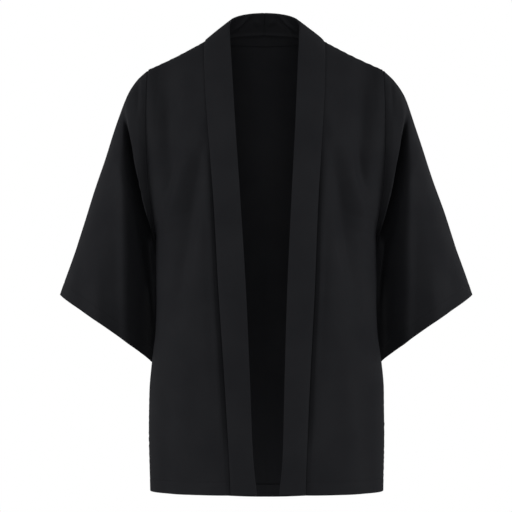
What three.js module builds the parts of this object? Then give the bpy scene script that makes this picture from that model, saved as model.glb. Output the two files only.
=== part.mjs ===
// Open-front kimono cardigan with wide, elbow-length sleeves, hanging hollow in the shape it takes when worn.
//
// Millimetres. +Z is up, +Y points to the garment's back, and +X to the right of someone who faces its
// front. The origin is the middle of the neck, level with the points where the collar band crosses the
// shoulder seams.
//
// Seven cut pieces: the back, two fronts, two sleeves, and a collar band in two halves joined at the centre
// back. Each is a thin wall round a surface that is lofted through the sections in the tables below. Sizes in
// the tables are given for the +X side and mirrored for the other. x is measured outwards from the middle.

import * as THREE from "three";

// Cloth and seams
const CLOTH = 1.8; // wall of the body and sleeve cloth
const BAND = 3.2; // wall of the doubled collar band
const SEAM_GAP = 0.3; // clearance between neighbouring pieces

// Body
const BODY_LENGTH = 719; // side of the neck to the hem
const SHOULDER_DROP = 47; // side of the neck down to the head of the armhole
const SHOULDER_HALF = 188; // middle to the head of the armhole
const UNDERARM_DROP = 318; // side of the neck down to the underarm point
const UNDERARM_HALF = 172;
const BACK_HEM_DIP = 18; // how much lower the hem hangs at the centre back
const ARMHOLE_SHARE = 0.44; // share of a panel's rows that lie beside the armhole
const SHOULDER_SAG = 2; // how far the middle of a shoulder seam hangs below a straight line
const TOP_FADE = 75; // drop over which the top edges melt into the regular sections
const NECK_SHARE = 0.36; // share of half a back section that hangs from the shoulder seam, not from the neck
const UNDERARM_TUCK = 4; // power with which the armhole draws in towards the underarm point
const LEVEL_MIDDLE = 1.5; // power that keeps the back's rows level at its middle

// The garment leans slightly to one side: the opening by this much at the neck and at the hem, and the body
// and sleeves by a share of it.
const LEAN_NECK = -2.5;
const LEAN_HEM = 3;
const LEAN_OF_BODY = 0.4;

// Grid steps of the walls
const FRONT_COLUMNS = 14;
const SHOULDER_COLUMNS = 7; // of half the back, to the side of the neck
const NECK_COLUMNS = 7; // of half the back, from there to the middle
const ARMHOLE_ROWS = 16;
const SKIRT_ROWS = 14;
const SLEEVE_ROWS = 24;
const BAND_COLUMNS = 3;
const FOLD_FADE = 2; // steps from a seam over which the folds die away
const SLOPE_STEP = 1e-3; // parameter step over which slopes are taken
const HALVINGS = 40; // of the range in which a height is looked up

const CLOTH_COLOUR = 0x1d1d20;
const CLOTH_ROUGHNESS = 0.85;

// Side seam, from the underarm to the hem, and the steps in which each panel leaves it. Where outFront or
// outBack is above 0, the panel swells past the seam into a hanging edge.
const SIDE_SEAM = [
  { z: -318, x: 172, outFront: 12, forward: 50, outBack: 10, backward: 52 },
  { z: -363, x: 169.5, outFront: 24, forward: 60, outBack: 18, backward: 60 },
  { z: -414, x: 166.5, outFront: 30, forward: 64, outBack: 22, backward: 64 },
  { z: -465, x: 170, outFront: 27, forward: 66, outBack: 18, backward: 66 },
  { z: -514, x: 180, outFront: 16, forward: 68, outBack: 10, backward: 68 },
  { z: -560, x: 186, outFront: 6, forward: 68, outBack: 4, backward: 68 },
  { z: -620, x: 188, outFront: 0, forward: 68, outBack: 0, backward: 68 },
  { z: -719, x: 186, outFront: 0, forward: 68, outBack: 0, backward: 68 },
];

// The steps in which the panels leave the armhole, by the share of the way down it.
const ARMHOLE_LEADS = [
  { share: 0, inFront: 31, forward: 0, inBack: 46, backward: 24 },
  { share: 0.25, inFront: 33, forward: 10, inBack: 44, backward: 22 },
  { share: 0.55, inFront: 32, forward: 20, inBack: 38, backward: 24 },
  { share: 0.8, inFront: 16, forward: 34, inBack: 18, backward: 38 },
  { share: 1, inFront: -12, forward: 50, inBack: -10, backward: 52 },
];

// The collar band, from the centre back over the shoulder and down to the hem: its seam and its free edge.
const BAND_SECTIONS = [
  { seamX: 0, seamY: 80, seamZ: 15, edgeX: 0, edgeY: 58, edgeZ: 48.5 },
  { seamX: 40, seamY: 72, seamZ: 12.5, edgeX: 25, edgeY: 53, edgeZ: 46.5 },
  { seamX: 73, seamY: 47, seamZ: 7, edgeX: 44, edgeY: 36, edgeZ: 40.5 },
  { seamX: 94, seamY: 0, seamZ: 0, edgeX: 55, edgeY: 2, edgeZ: 29 },
  { seamX: 96, seamY: -30, seamZ: -15, edgeX: 55, edgeY: -42, edgeZ: 2 },
  { seamX: 95.5, seamY: -60, seamZ: -48, edgeX: 52.5, edgeY: -69, edgeZ: -39 },
  { seamX: 93.5, seamY: -84, seamZ: -97, edgeX: 50, edgeY: -90, edgeZ: -88 },
  { seamX: 90, seamY: -100, seamZ: -150, edgeX: 47, edgeY: -106, edgeZ: -144 },
  { seamX: 82.5, seamY: -115, seamZ: -255, edgeX: 40.5, edgeY: -121, edgeZ: -252 },
  { seamX: 75.5, seamY: -120, seamZ: -400, edgeX: 32.5, edgeY: -126, edgeZ: -400 },
  { seamX: 67.5, seamY: -121, seamZ: -535, edgeX: 27.5, edgeY: -127, edgeZ: -535 },
  { seamX: 61, seamY: -120, seamZ: -665, edgeX: 23, edgeY: -126, edgeZ: -665 },
  { seamX: 59, seamY: -119, seamZ: -BODY_LENGTH, edgeX: 17.5, edgeY: -125, edgeZ: -BODY_LENGTH },
];
const NECK_ROW = 3; // the row of BAND_SECTIONS at the shoulder seam
const BAND_ROLL = 1.4; // how far the band arches between its seam and its edge

// Depth of the back along its middle, and how far the panel runs level from there.
const BACK_MIDDLE = [
  { fall: 0, y: 80, pull: 44 },
  { fall: 25, y: 90, pull: 50 },
  { fall: 70, y: 103, pull: 60 },
  { fall: 140, y: 114, pull: 70 },
  { fall: 240, y: 119, pull: 78 },
  { fall: 360, y: 116, pull: 80 },
  { fall: 520, y: 116, pull: 80 },
  { fall: 752, y: 119, pull: 80 },
];

// How far the front panel runs level from the collar seam towards the side.
const FRONT_PULL = [
  { fall: 0, out: 31, back: 0 },
  { fall: 60, out: 26, back: 9 },
  { fall: 150, out: 34, back: 7 },
  { fall: 270, out: 46, back: 4 },
  { fall: 400, out: 60, back: 3 },
  { fall: 720, out: 62, back: 3 },
];

// The sleeve, from the armhole to the cuff: the top fold and the underarm seam, and the two poles towards
// which each ring bends on its way down the front and down the back. Poles' y is measured forward for the
// front, backward for the back. The third to fifth rows make the ridge and the valley below the shoulder.
const SLEEVE_EDGES = [
  { at: 0, topX: 188, topZ: -47, underX: 174.5, underY: 0, underZ: -318 },
  { at: 0.06, topX: 205, topZ: -62.5, underX: 174.7, underY: 0, underZ: -320 },
  { at: 0.15, topX: 221.5, topZ: -88, underX: 175, underY: 0, underZ: -323 },
  { at: 0.24, topX: 235, topZ: -125, underX: 175.2, underY: 6, underZ: -334 },
  { at: 0.36, topX: 249.5, topZ: -168, underX: 175, underY: 24, underZ: -358 },
  { at: 0.6, topX: 280.5, topZ: -260, underX: 174, underY: 50, underZ: -420 },
  { at: 0.8, topX: 306, topZ: -338, underX: 173, underY: 62, underZ: -477 },
  { at: 1, topX: 329.5, topZ: -406, underX: 174, underY: 70, underZ: -528 },
];
const SLEEVE_FRONT = [
  { at: 0, upperX: 190, upperY: 80, upperZ: -75, lowerX: 194, lowerY: 100, lowerZ: -250 },
  { at: 0.06, upperX: 208, upperY: 86, upperZ: -85, lowerX: 200, lowerY: 112, lowerZ: -255 },
  { at: 0.15, upperX: 224, upperY: 85, upperZ: -100, lowerX: 200, lowerY: 115, lowerZ: -262 },
  { at: 0.24, upperX: 214, upperY: 62, upperZ: -130, lowerX: 190, lowerY: 10, lowerZ: -262 },
  { at: 0.36, upperX: 246, upperY: 80, upperZ: -182, lowerX: 212, lowerY: 66, lowerZ: -272 },
  { at: 0.6, upperX: 272, upperY: 80, upperZ: -278, lowerX: 196, lowerY: 84, lowerZ: -364 },
  { at: 0.8, upperX: 296, upperY: 84, upperZ: -354, lowerX: 198, lowerY: 98, lowerZ: -428 },
  { at: 1, upperX: 316, upperY: 88, upperZ: -418, lowerX: 205, lowerY: 96, lowerZ: -482 },
];
const SLEEVE_BACK = [
  { at: 0, upperX: 190, upperY: 84, upperZ: -75, lowerX: 194, lowerY: 104, lowerZ: -250 },
  { at: 0.06, upperX: 208, upperY: 90, upperZ: -85, lowerX: 200, lowerY: 112, lowerZ: -255 },
  { at: 0.15, upperX: 225, upperY: 90, upperZ: -104, lowerX: 204, lowerY: 114, lowerZ: -264 },
  { at: 0.26, upperX: 233, upperY: 82, upperZ: -142, lowerX: 196, lowerY: 68, lowerZ: -280 },
  { at: 0.38, upperX: 249, upperY: 84, upperZ: -190, lowerX: 208, lowerY: 84, lowerZ: -292 },
  { at: 0.6, upperX: 272, upperY: 84, upperZ: -278, lowerX: 198, lowerY: 98, lowerZ: -364 },
  { at: 0.8, upperX: 296, upperY: 84, upperZ: -354, lowerX: 198, lowerY: 98, lowerZ: -428 },
  { at: 1, upperX: 316, upperY: 84, upperZ: -418, lowerX: 205, lowerY: 98, lowerZ: -482 },
];

// The crest along which the front of a sleeve turns in towards the body, and the dent between that crest and
// the underarm: how far it is pushed back, and over what width.
const DENT = [
  { z: -130, crestX: 229, depth: 40, width: 22 },
  { z: -230, crestX: 226.5, depth: 37, width: 34 },
  { z: -320, crestX: 224.5, depth: 34, width: 45 },
  { z: -470, crestX: 222, depth: 34, width: 45 },
];
const DENT_START = [0.16, 0.25]; // shares of the sleeve's length over which the dent sets in
const DENT_END = [0.84, 1]; // shares of the way down a ring over which it fades out again
const CREST_RISE = 10; // how far the crest stands forward
const CREST_HALF = 10; // distance from the crest at which that has faded to about a third

// Folds, as ridges (height above 0) and troughs (below 0) along a line from one height to another. half is
// the distance from the line at which a fold has faded to about a third.
const FRONT_FOLDS = [
  { name: "drag ridge", fromX: 104, fromZ: -150, toX: 166, toZ: -362, height: 5, half: 13 },
  { name: "drag trough", fromX: 101, fromZ: -165, toX: 157, toZ: -415, height: -6.5, half: 13 },
  { name: "shoulder hollow", fromX: 160, fromZ: -37, toX: 151, toZ: -237, height: -7, half: 15 },
  { name: "skirt ridge", fromX: 128, fromZ: -470, toX: 134, toZ: -780, height: 3, half: 15 },
  { name: "skirt trough", fromX: 158, fromZ: -500, toX: 162, toZ: -800, height: -2.5, half: 13 },
  { name: "band trough", fromX: 98, fromZ: -190, toX: 78, toZ: -620, height: -4, half: 12 },
];
const BACK_FOLDS = [
  { name: "blade ridge", fromX: 92, fromZ: -150, toX: 166, toZ: -330, height: 5, half: 17 },
  { name: "blade trough", fromX: 88, fromZ: -215, toX: 156, toZ: -430, height: -6, half: 15 },
  { name: "centre fall", fromX: 18, fromZ: -260, toX: 12, toZ: -820, height: -4, half: 22 },
  { name: "skirt ridge", fromX: 72, fromZ: -380, toX: 66, toZ: -820, height: 4, half: 20 },
  { name: "skirt trough", fromX: 122, fromZ: -430, toX: 126, toZ: -820, height: -4, half: 18 },
];
const SLEEVE_FOLDS = [
  { name: "cap gather", fromX: 204, fromZ: -62, toX: 206, toZ: -130, height: -2.5, half: 5 },
  { name: "cuff ridge", fromX: 266, fromZ: -330, toX: 270, toZ: -520, height: 4, half: 12 },
  { name: "cuff trough", fromX: 292, fromZ: -320, toX: 298, toZ: -480, height: -2.5, half: 10 },
];

// ----------------------------------------------------------------------------------------------------
// Reading the tables

const clamp = THREE.MathUtils.clamp;
const lerp = THREE.MathUtils.lerp;
const smoothstep = THREE.MathUtils.smoothstep;

// A column of a table at any value of its key, joined by curves that never overshoot the rows.
function columnAt(table, key, column, value) {
  const rows = table[0][key] <= table[table.length - 1][key] ? table : [...table].reverse();
  const last = rows.length - 1;
  const x = rows.map((row) => row[key]);
  const y = rows.map((row) => row[column]);
  const at = clamp(value, x[0], x[last]);
  let i = 0;
  while (i < last - 1 && at > x[i + 1]) i++;
  const slope = (k) => (y[k + 1] - y[k]) / (x[k + 1] - x[k]);
  const tangent = (k) => {
    if (k === 0) return slope(0);
    if (k === last) return slope(last - 1);
    const before = slope(k - 1);
    const after = slope(k);
    return before * after <= 0 ? 0 : (2 * before * after) / (before + after);
  };
  const width = x[i + 1] - x[i];
  const t = (at - x[i]) / width;
  return (
    y[i] * (1 + 2 * t) * (1 - t) ** 2 +
    y[i + 1] * t * t * (3 - 2 * t) +
    tangent(i) * width * t * (1 - t) ** 2 -
    tangent(i + 1) * width * t * t * (1 - t)
  );
}

// The band's seam and free edge as curves. Their parameter runs from 0 at the centre back to 1 at the hem.
function bandCurve(edge) {
  const points = BAND_SECTIONS.map(
    (row) => new THREE.Vector3(row[edge + "X"], row[edge + "Y"], row[edge + "Z"]),
  );
  // A mirrored point ahead of the first keeps the curve square to the middle at the centre back.
  const ahead = points[1].clone().setX(-points[1].x);
  const curve = new THREE.CatmullRomCurve3([ahead, ...points]);
  const spans = points.length;
  return (t) => curve.getPoint((1 + t * (spans - 1)) / spans);
}
const bandSeam = bandCurve("seam");
const bandEdge = bandCurve("edge");
const NECK_AT = NECK_ROW / (BAND_SECTIONS.length - 1);

// The value between two others at which a falling quantity reaches a height.
function whereFalls(quantity, height, low, high) {
  if (height >= quantity(low)) return low;
  if (height <= quantity(high)) return high;
  for (let step = 0; step < HALVINGS; step++) {
    const middle = (low + high) / 2;
    if (quantity(middle) > height) low = middle;
    else high = middle;
  }
  return (low + high) / 2;
}

// The parameter of the front's collar seam at a height between the shoulder seam and the hem.
const frontSeamShare = (z) => whereFalls((t) => bandSeam(t).z, z, NECK_AT, 1);

// A point moved to one side by a share of the opening's lean at its height.
function leaned(point, share) {
  point.x += share * lerp(LEAN_NECK, LEAN_HEM, clamp(-point.z / BODY_LENGTH, 0, 1));
  return point;
}

function cubic(t, a, b, c, d) {
  const r = 1 - t;
  return a * r * r * r + 3 * b * r * r * t + 3 * c * r * t * t + d * t * t * t;
}

// The push of a table of folds at a place seen from the front or the back.
function foldPush(folds, x, z) {
  let push = 0;
  for (const fold of folds) {
    const runX = fold.toX - fold.fromX;
    const runZ = fold.toZ - fold.fromZ;
    const length = Math.hypot(runX, runZ);
    const along = ((x - fold.fromX) * runX + (z - fold.fromZ) * runZ) / (length * length);
    if (along <= 0 || along >= 1) continue;
    const away = ((x - fold.fromX) * runZ - (z - fold.fromZ) * runX) / length;
    push += fold.height * Math.sin(Math.PI * along) * Math.exp(-((away / fold.half) ** 2));
  }
  return push;
}

// ----------------------------------------------------------------------------------------------------
// Surfaces, for the +X side. Each takes two parameters from 0 to 1.

// A ring of the sleeve: share runs from its top fold (0) to the underarm (1), over the front (face -1) or
// the back (+1).
function ringPoint(at, share, face) {
  const edge = (column) => columnAt(SLEEVE_EDGES, "at", column, at);
  const pole = (column) => columnAt(face < 0 ? SLEEVE_FRONT : SLEEVE_BACK, "at", column, at);
  const point = new THREE.Vector3(
    cubic(share, edge("topX"), pole("upperX"), pole("lowerX"), edge("underX")),
    cubic(share, 0, face * pole("upperY"), face * pole("lowerY"), edge("underY")),
    cubic(share, edge("topZ"), pole("upperZ"), pole("lowerZ"), edge("underZ")),
  );
  const dented = smoothstep(at, ...DENT_START) * (1 - smoothstep(share, ...DENT_END));
  if (face < 0) point.y += dented * dentAt(point);
  return point;
}

// How far the front of a sleeve is pushed back at a place: less than 0 at the crest, which stands forward.
function dentAt({ x, z }) {
  const crest = columnAt(DENT, "z", "crestX", z);
  const depth = columnAt(DENT, "z", "depth", z);
  const width = columnAt(DENT, "z", "width", z);
  const rise = CREST_RISE * Math.exp(-(((x - crest) / CREST_HALF) ** 2));
  return depth * smoothstep(crest - x, 0, width) - rise;
}

// The armhole edge of the body. It closes at the underarm point, just inside the sleeve's own edge.
function armholePoint(share, face) {
  const point = ringPoint(0, share, face);
  point.x -= (SLEEVE_EDGES[0].underX - UNDERARM_HALF) * share ** UNDERARM_TUCK;
  return point;
}

// The outer edge of a body panel at row v: the armhole down to the underarm, and the side seam below it.
function outerEdge(v, face) {
  if (v <= ARMHOLE_SHARE) return armholePoint(v / ARMHOLE_SHARE, face);
  const z = lerp(-UNDERARM_DROP, -BODY_LENGTH, (v - ARMHOLE_SHARE) / (1 - ARMHOLE_SHARE));
  return new THREE.Vector3(columnAt(SIDE_SEAM, "z", "x", z), 0, z);
}

// The way a panel leaves its outer edge at row v, as a step in x and y.
function outerLead(v, face) {
  const name = face < 0 ? "Front" : "Back";
  const deep = face < 0 ? "forward" : "backward";
  if (v <= ARMHOLE_SHARE) {
    const read = (column) => columnAt(ARMHOLE_LEADS, "share", column, v / ARMHOLE_SHARE);
    return { x: -read("in" + name), y: face * read(deep) };
  }
  const read = (column) => columnAt(SIDE_SEAM, "z", column, outerEdge(v, face).z);
  return { x: read("out" + name), y: face * read(deep) };
}

// Share of the way from the shoulder to the hem at row v.
function fallShare(v) {
  return (-SHOULDER_DROP - outerEdge(v, -1).z) / (BODY_LENGTH - SHOULDER_DROP);
}

// How much of a top edge's own shape is left at row v.
const topShare = (v) => 1 - Math.sqrt(clamp((fallShare(v) * BODY_LENGTH) / TOP_FADE, 0, 1));

// The row of the front at which the collar seam is at a height.
const rowAtHeight = (z) => whereFalls((v) => -fallShare(v) * BODY_LENGTH, z, 0, 1);

// Front: u from the armhole and side seam (0) to the collar seam (1), v from the shoulder seam to the hem.
function frontSurface(u, v, side) {
  const outer = outerEdge(v, -1);
  const fall = fallShare(v) * BODY_LENGTH;
  const inner = bandSeam(frontSeamShare(-fall));
  const lead = outerLead(v, -1);
  const out = columnAt(FRONT_PULL, "fall", "out", fall);
  const back = columnAt(FRONT_PULL, "fall", "back", fall);
  const point = new THREE.Vector3(
    side * cubic(u, outer.x, outer.x + lead.x, inner.x + out, inner.x),
    cubic(u, outer.y, outer.y + lead.y, inner.y + back, inner.y),
    lerp(outer.z, inner.z, u) - SHOULDER_SAG * Math.sin(Math.PI * u) * topShare(v),
  );
  return leaned(point, lerp(LEAN_OF_BODY, 1, u));
}

// The back's top edge: the shoulder seam, then the neckline to the centre back.
function backTop(u) {
  if (u < NECK_SHARE) {
    const point = armholePoint(0, 1).lerp(bandSeam(NECK_AT), u / NECK_SHARE);
    point.z -= SHOULDER_SAG * Math.sin((Math.PI * u) / NECK_SHARE);
    return point;
  }
  return bandSeam(NECK_AT * (1 - (u - NECK_SHARE) / (1 - NECK_SHARE)));
}

// One half section of the back at row v: u from the armhole and side seam (0) to the middle (1).
function backSection(u, v) {
  const outer = outerEdge(v, 1);
  const share = fallShare(v);
  const top = BAND_SECTIONS[0].seamZ;
  const fall = share * (BODY_LENGTH + BACK_HEM_DIP + top);
  const middleY = columnAt(BACK_MIDDLE, "fall", "y", fall);
  const pull = columnAt(BACK_MIDDLE, "fall", "pull", fall);
  const lead = outerLead(v, 1);
  return new THREE.Vector3(
    cubic(u, outer.x, outer.x + lead.x, pull, 0),
    cubic(u, outer.y, outer.y + lead.y, middleY, middleY),
    outer.z + (top - fall - outer.z) * Math.sin((Math.PI / 2) * u) ** LEVEL_MIDDLE,
  );
}

// Back: u from one side (-1) through the middle (0) to the other (1), v from the top edge to the hem.
function backSurface(u, v) {
  const side = u < 0 ? -1 : 1;
  const half = 1 - Math.abs(u);
  const point = backSection(half, v);
  const fade = topShare(v);
  const correction = backTop(half).sub(backSection(half, 0)).multiplyScalar(fade);
  point.add(correction);
  point.x *= side;
  return leaned(point, lerp(LEAN_OF_BODY, 1, Math.min(1, half / NECK_SHARE) * fade));
}

// Sleeve: t round the ring, from the top fold over the front to the underarm (0.5) and up the back; s runs
// down to the cuff.
function sleeveSurface(t, s, side) {
  const face = t < 0.5 ? -1 : 1;
  const share = t < 0.5 ? 2 * t : 2 * (1 - t);
  const point = ringPoint(s, share, face);
  point.x *= side;
  return leaned(point, LEAN_OF_BODY);
}

// Collar band: q from its seam (0) to its free edge (1), t from the centre back to the hem.
function bandSurface(q, t, side) {
  const seam = bandSeam(t);
  const edge = bandEdge(t);
  const along = bandSeam(Math.min(1, t + SLOPE_STEP)).sub(bandSeam(Math.max(0, t - SLOPE_STEP)));
  const outward = edge.clone().sub(seam).cross(along).normalize();
  const point = seam.lerp(edge, q).addScaledVector(outward, 4 * BAND_ROLL * q * (1 - q));
  point.x *= side;
  return leaned(point, 1);
}

// ----------------------------------------------------------------------------------------------------
// Walls

// The slopes of a surface along its two parameters, taken inside its own range, and its outward normal.
function frameAt({ surface, turn, first = [0, 1], second = [0, 1] }, a, b) {
  const slope = (read, value, low, high) => {
    const from = Math.max(low, value - SLOPE_STEP);
    const to = Math.min(high, value + SLOPE_STEP);
    return read(to).sub(read(from)).normalize();
  };
  const alongA = slope((x) => surface(x, b), a, ...first);
  const alongB = slope((x) => surface(a, x), b, ...second);
  const normal = alongA.clone().cross(alongB).multiplyScalar(turn).normalize();
  return { alongA, alongB, normal };
}

// A closed wall round a panel's surface. across and down list the parameters at the grid's lines. Where the
// panel is sewn, its rim steps back by half the seam gap and takes the mean normal of the panels that meet
// there.
function wall({ panel, across, down, thickness, ring = false, push = () => 0, meets = () => [], sewn }) {
  const columns = across.length;
  const rows = down.length;
  const outer = [];
  const inner = [];
  down.forEach((b, j) => {
    across.forEach((a, i) => {
      const { alongA, alongB, normal } = frameAt(panel, a, b);
      const point = panel.surface(a, b);
      for (const other of meets(a, b)) normal.add(other);
      normal.normalize();
      const acrossSeam = alongB.clone().cross(normal).multiplyScalar(panel.turn).normalize();
      const downSeam = normal.clone().cross(alongA).multiplyScalar(panel.turn).normalize();
      const stepsIn = Math.min(
        sewn.left ? i : Infinity,
        sewn.right ? columns - 1 - i : Infinity,
        sewn.top ? j : Infinity,
      );
      point.addScaledVector(normal, push(point) * smoothstep(stepsIn, 0, FOLD_FADE));
      if (sewn.left && i === 0) point.addScaledVector(acrossSeam, SEAM_GAP / 2);
      if (sewn.right && i === columns - 1) point.addScaledVector(acrossSeam, -SEAM_GAP / 2);
      if (sewn.top && j === 0) point.addScaledVector(downSeam, SEAM_GAP / 2);
      outer.push(point.clone().addScaledVector(normal, thickness / 2));
      inner.push(point.clone().addScaledVector(normal, -thickness / 2));
    });
  });
  const positions = [...outer, ...inner].flatMap((point) => point.toArray());
  const count = columns * rows;
  const faces = [];
  const quad = (a, b, c, d) => {
    if (panel.turn > 0) faces.push(a, b, c, a, c, d);
    else faces.push(a, c, b, a, d, c);
  };
  const spans = ring ? columns : columns - 1;
  for (let j = 0; j < rows - 1; j++) {
    for (let i = 0; i < spans; i++) {
      const a = j * columns + i;
      const b = j * columns + ((i + 1) % columns);
      const c = b + columns;
      const d = a + columns;
      quad(a, b, c, d);
      quad(count + a, count + d, count + c, count + b);
    }
  }
  const rim = (path) => {
    for (let k = 0; k < path.length - 1; k++) {
      quad(path[k], count + path[k], count + path[k + 1], path[k + 1]);
    }
  };
  const rowPath = (j) => [...Array(spans + 1).keys()].map((i) => j * columns + (i % columns));
  rim(rowPath(0));
  rim(rowPath(rows - 1).reverse());
  if (!ring) {
    const columnPath = (i) => [...Array(rows).keys()].map((j) => j * columns + i);
    rim(columnPath(columns - 1));
    rim(columnPath(0).reverse());
  }
  const geometry = new THREE.BufferGeometry();
  geometry.setAttribute("position", new THREE.Float32BufferAttribute(positions, 3));
  geometry.setIndex(faces);
  return geometry;
}

// Evenly spaced values from one end to the other.
function steps(from, to, count) {
  return Array.from({ length: count + 1 }, (_, i) => lerp(from, to, i / count));
}

const wrap = (t) => ((t % 1) + 1) % 1;

// The panels, with the way round in which their surfaces face out.
const frontPanel = (side) => ({ surface: (u, v) => frontSurface(u, v, side), turn: side });
const backPanel = { surface: backSurface, turn: 1, first: [-1, 1] };
const sleevePanel = (side) => ({
  surface: (t, s) => sleeveSurface(wrap(t), s, side),
  turn: side,
  first: [-1, 2],
});
const bandPanel = (side) => ({ surface: (q, t) => bandSurface(q, t, side), turn: side });

// Grid lines. The pieces on both sides of a seam break it at the same places.
const panelRows = [...steps(0, ARMHOLE_SHARE, ARMHOLE_ROWS), ...steps(ARMHOLE_SHARE, 1, SKIRT_ROWS).slice(1)];
const halfBack = [...steps(0, NECK_SHARE, SHOULDER_COLUMNS), ...steps(NECK_SHARE, 1, NECK_COLUMNS).slice(1)];
const backColumns = [...halfBack.map((u) => u - 1), ...[...halfBack].reverse().slice(1).map((u) => 1 - u)];
const neckAt = (half) => NECK_AT * (1 - (half - NECK_SHARE) / (1 - NECK_SHARE));
const bandRows = [
  ...halfBack.slice(SHOULDER_COLUMNS).reverse().map(neckAt),
  ...panelRows.slice(1).map((v) => frontSeamShare(-fallShare(v) * BODY_LENGTH)),
];

// The normals of the other pieces that meet a piece at a place on its edge.
function meetsFront(side) {
  return (u, v) => {
    const found = [];
    if (u === 0 && v >= ARMHOLE_SHARE) found.push(frameAt(backPanel, side, v).normal);
    if (u === 0 && v <= ARMHOLE_SHARE) {
      found.push(frameAt(sleevePanel(side), v / ARMHOLE_SHARE / 2, 0).normal);
    }
    if (v === 0) found.push(frameAt(backPanel, side * (1 - u * NECK_SHARE), 0).normal);
    if (u === 1) {
      found.push(frameAt(bandPanel(side), 0, frontSeamShare(-fallShare(v) * BODY_LENGTH)).normal);
    }
    return found;
  };
}

function meetsBack(u, v) {
  const side = u < 0 ? -1 : 1;
  const half = 1 - Math.abs(u);
  const found = [];
  if (half === 0 && v >= ARMHOLE_SHARE) found.push(frameAt(frontPanel(side), 0, v).normal);
  if (half === 0 && v <= ARMHOLE_SHARE) {
    found.push(frameAt(sleevePanel(side), 1 - v / ARMHOLE_SHARE / 2, 0).normal);
  }
  if (v === 0 && half <= NECK_SHARE) found.push(frameAt(frontPanel(side), half / NECK_SHARE, 0).normal);
  if (v === 0 && half >= NECK_SHARE) found.push(frameAt(bandPanel(side), 0, neckAt(half)).normal);
  return found;
}

function meetsSleeve(side) {
  return (t, s) => {
    if (s > 0) return [];
    const share = t <= 0.5 ? 2 * t : 2 * (1 - t);
    const found = [];
    if (t <= 0.5) found.push(frameAt(frontPanel(side), 0, share * ARMHOLE_SHARE).normal);
    if (t >= 0.5 || t === 0) found.push(frameAt(backPanel, side, share * ARMHOLE_SHARE).normal);
    return found;
  };
}

function meetsBand(side) {
  return (q, t) => {
    if (q > 0) return [];
    const found = [];
    if (t >= NECK_AT) {
      const z = bandSeam(t).z;
      found.push(frameAt(frontPanel(side), 1, rowAtHeight(z)).normal);
    }
    if (t <= NECK_AT) {
      const half = NECK_SHARE + (1 - t / NECK_AT) * (1 - NECK_SHARE);
      found.push(frameAt(backPanel, side * (1 - half), 0).normal);
    }
    return found;
  };
}

const cloth = { color: CLOTH_COLOUR, roughness: CLOTH_ROUGHNESS, metalness: 0 };

function piece(name, geometry) {
  const mesh = new THREE.Mesh(geometry, new THREE.MeshStandardMaterial(cloth));
  mesh.name = name;
  return mesh;
}

const front = (side) =>
  wall({
    panel: frontPanel(side),
    across: steps(0, 1, FRONT_COLUMNS),
    down: panelRows,
    thickness: CLOTH,
    push: (point) => foldPush(FRONT_FOLDS, Math.abs(point.x), point.z),
    meets: meetsFront(side),
    sewn: { left: true, right: true, top: true },
  });

const back = () =>
  wall({
    panel: backPanel,
    across: backColumns,
    down: panelRows,
    thickness: CLOTH,
    push: (point) => foldPush(BACK_FOLDS, Math.abs(point.x), point.z),
    meets: meetsBack,
    sewn: { left: true, right: true, top: true },
  });

const sleeve = (side) =>
  wall({
    panel: sleevePanel(side),
    across: steps(0, 1, 2 * ARMHOLE_ROWS).slice(0, -1),
    down: steps(0, 1, SLEEVE_ROWS),
    thickness: CLOTH,
    ring: true,
    push: (point) => foldPush(SLEEVE_FOLDS, Math.abs(point.x), point.z),
    meets: meetsSleeve(side),
    sewn: { top: true },
  });

const band = (side) =>
  wall({
    panel: bandPanel(side),
    across: steps(0, 1, BAND_COLUMNS),
    down: bandRows,
    thickness: BAND,
    meets: meetsBand(side),
    sewn: { left: true, top: true },
  });

const garment = new THREE.Group();
garment.add(piece("back", back()));
for (const [label, side] of [["left", -1], ["right", 1]]) {
  garment.add(piece("front_" + label, front(side)));
  garment.add(piece("sleeve_" + label, sleeve(side)));
  garment.add(piece("collar_" + label, band(side)));
}

export default garment;
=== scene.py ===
"""Open-front kimono shirt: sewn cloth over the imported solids, its stitches, its materials and a plain stage.

Tables and functions work in millimetres, and the meshes are made in metres. +Z is up, +Y points to the
garment's back, and +X to the right of someone who faces its front. Surfaces are written for the +X side and
mirrored.
"""

import math
from types import SimpleNamespace

import bmesh
import bpy
import numpy as np
from mathutils import Matrix, Vector


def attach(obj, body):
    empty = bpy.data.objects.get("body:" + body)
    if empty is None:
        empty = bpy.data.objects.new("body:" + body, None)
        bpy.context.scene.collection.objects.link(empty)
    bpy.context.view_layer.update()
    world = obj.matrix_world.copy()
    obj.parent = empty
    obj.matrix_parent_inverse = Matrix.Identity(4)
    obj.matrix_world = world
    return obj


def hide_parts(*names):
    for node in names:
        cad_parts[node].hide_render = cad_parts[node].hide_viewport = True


bl_info = {
    "name": "Kimono Shirt",
    "version": (1, 0, 0),
    "blender": (4, 5, 0),
    "location": "3D View > Sidebar > Kimono Shirt",
    "description": "Sews the cloth, threads and stage of an open-front kimono shirt",
    "category": "Object",
}

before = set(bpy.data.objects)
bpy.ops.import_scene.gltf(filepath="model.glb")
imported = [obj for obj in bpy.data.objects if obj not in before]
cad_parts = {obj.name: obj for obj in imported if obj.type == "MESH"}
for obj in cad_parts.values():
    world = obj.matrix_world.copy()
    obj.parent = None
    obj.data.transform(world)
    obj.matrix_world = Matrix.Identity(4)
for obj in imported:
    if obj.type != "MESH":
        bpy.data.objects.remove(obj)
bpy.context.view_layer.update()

MM = 0.001

# --------------------------------------------------------------------------------------------------
# The garment's sizes, as its solids have them

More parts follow.
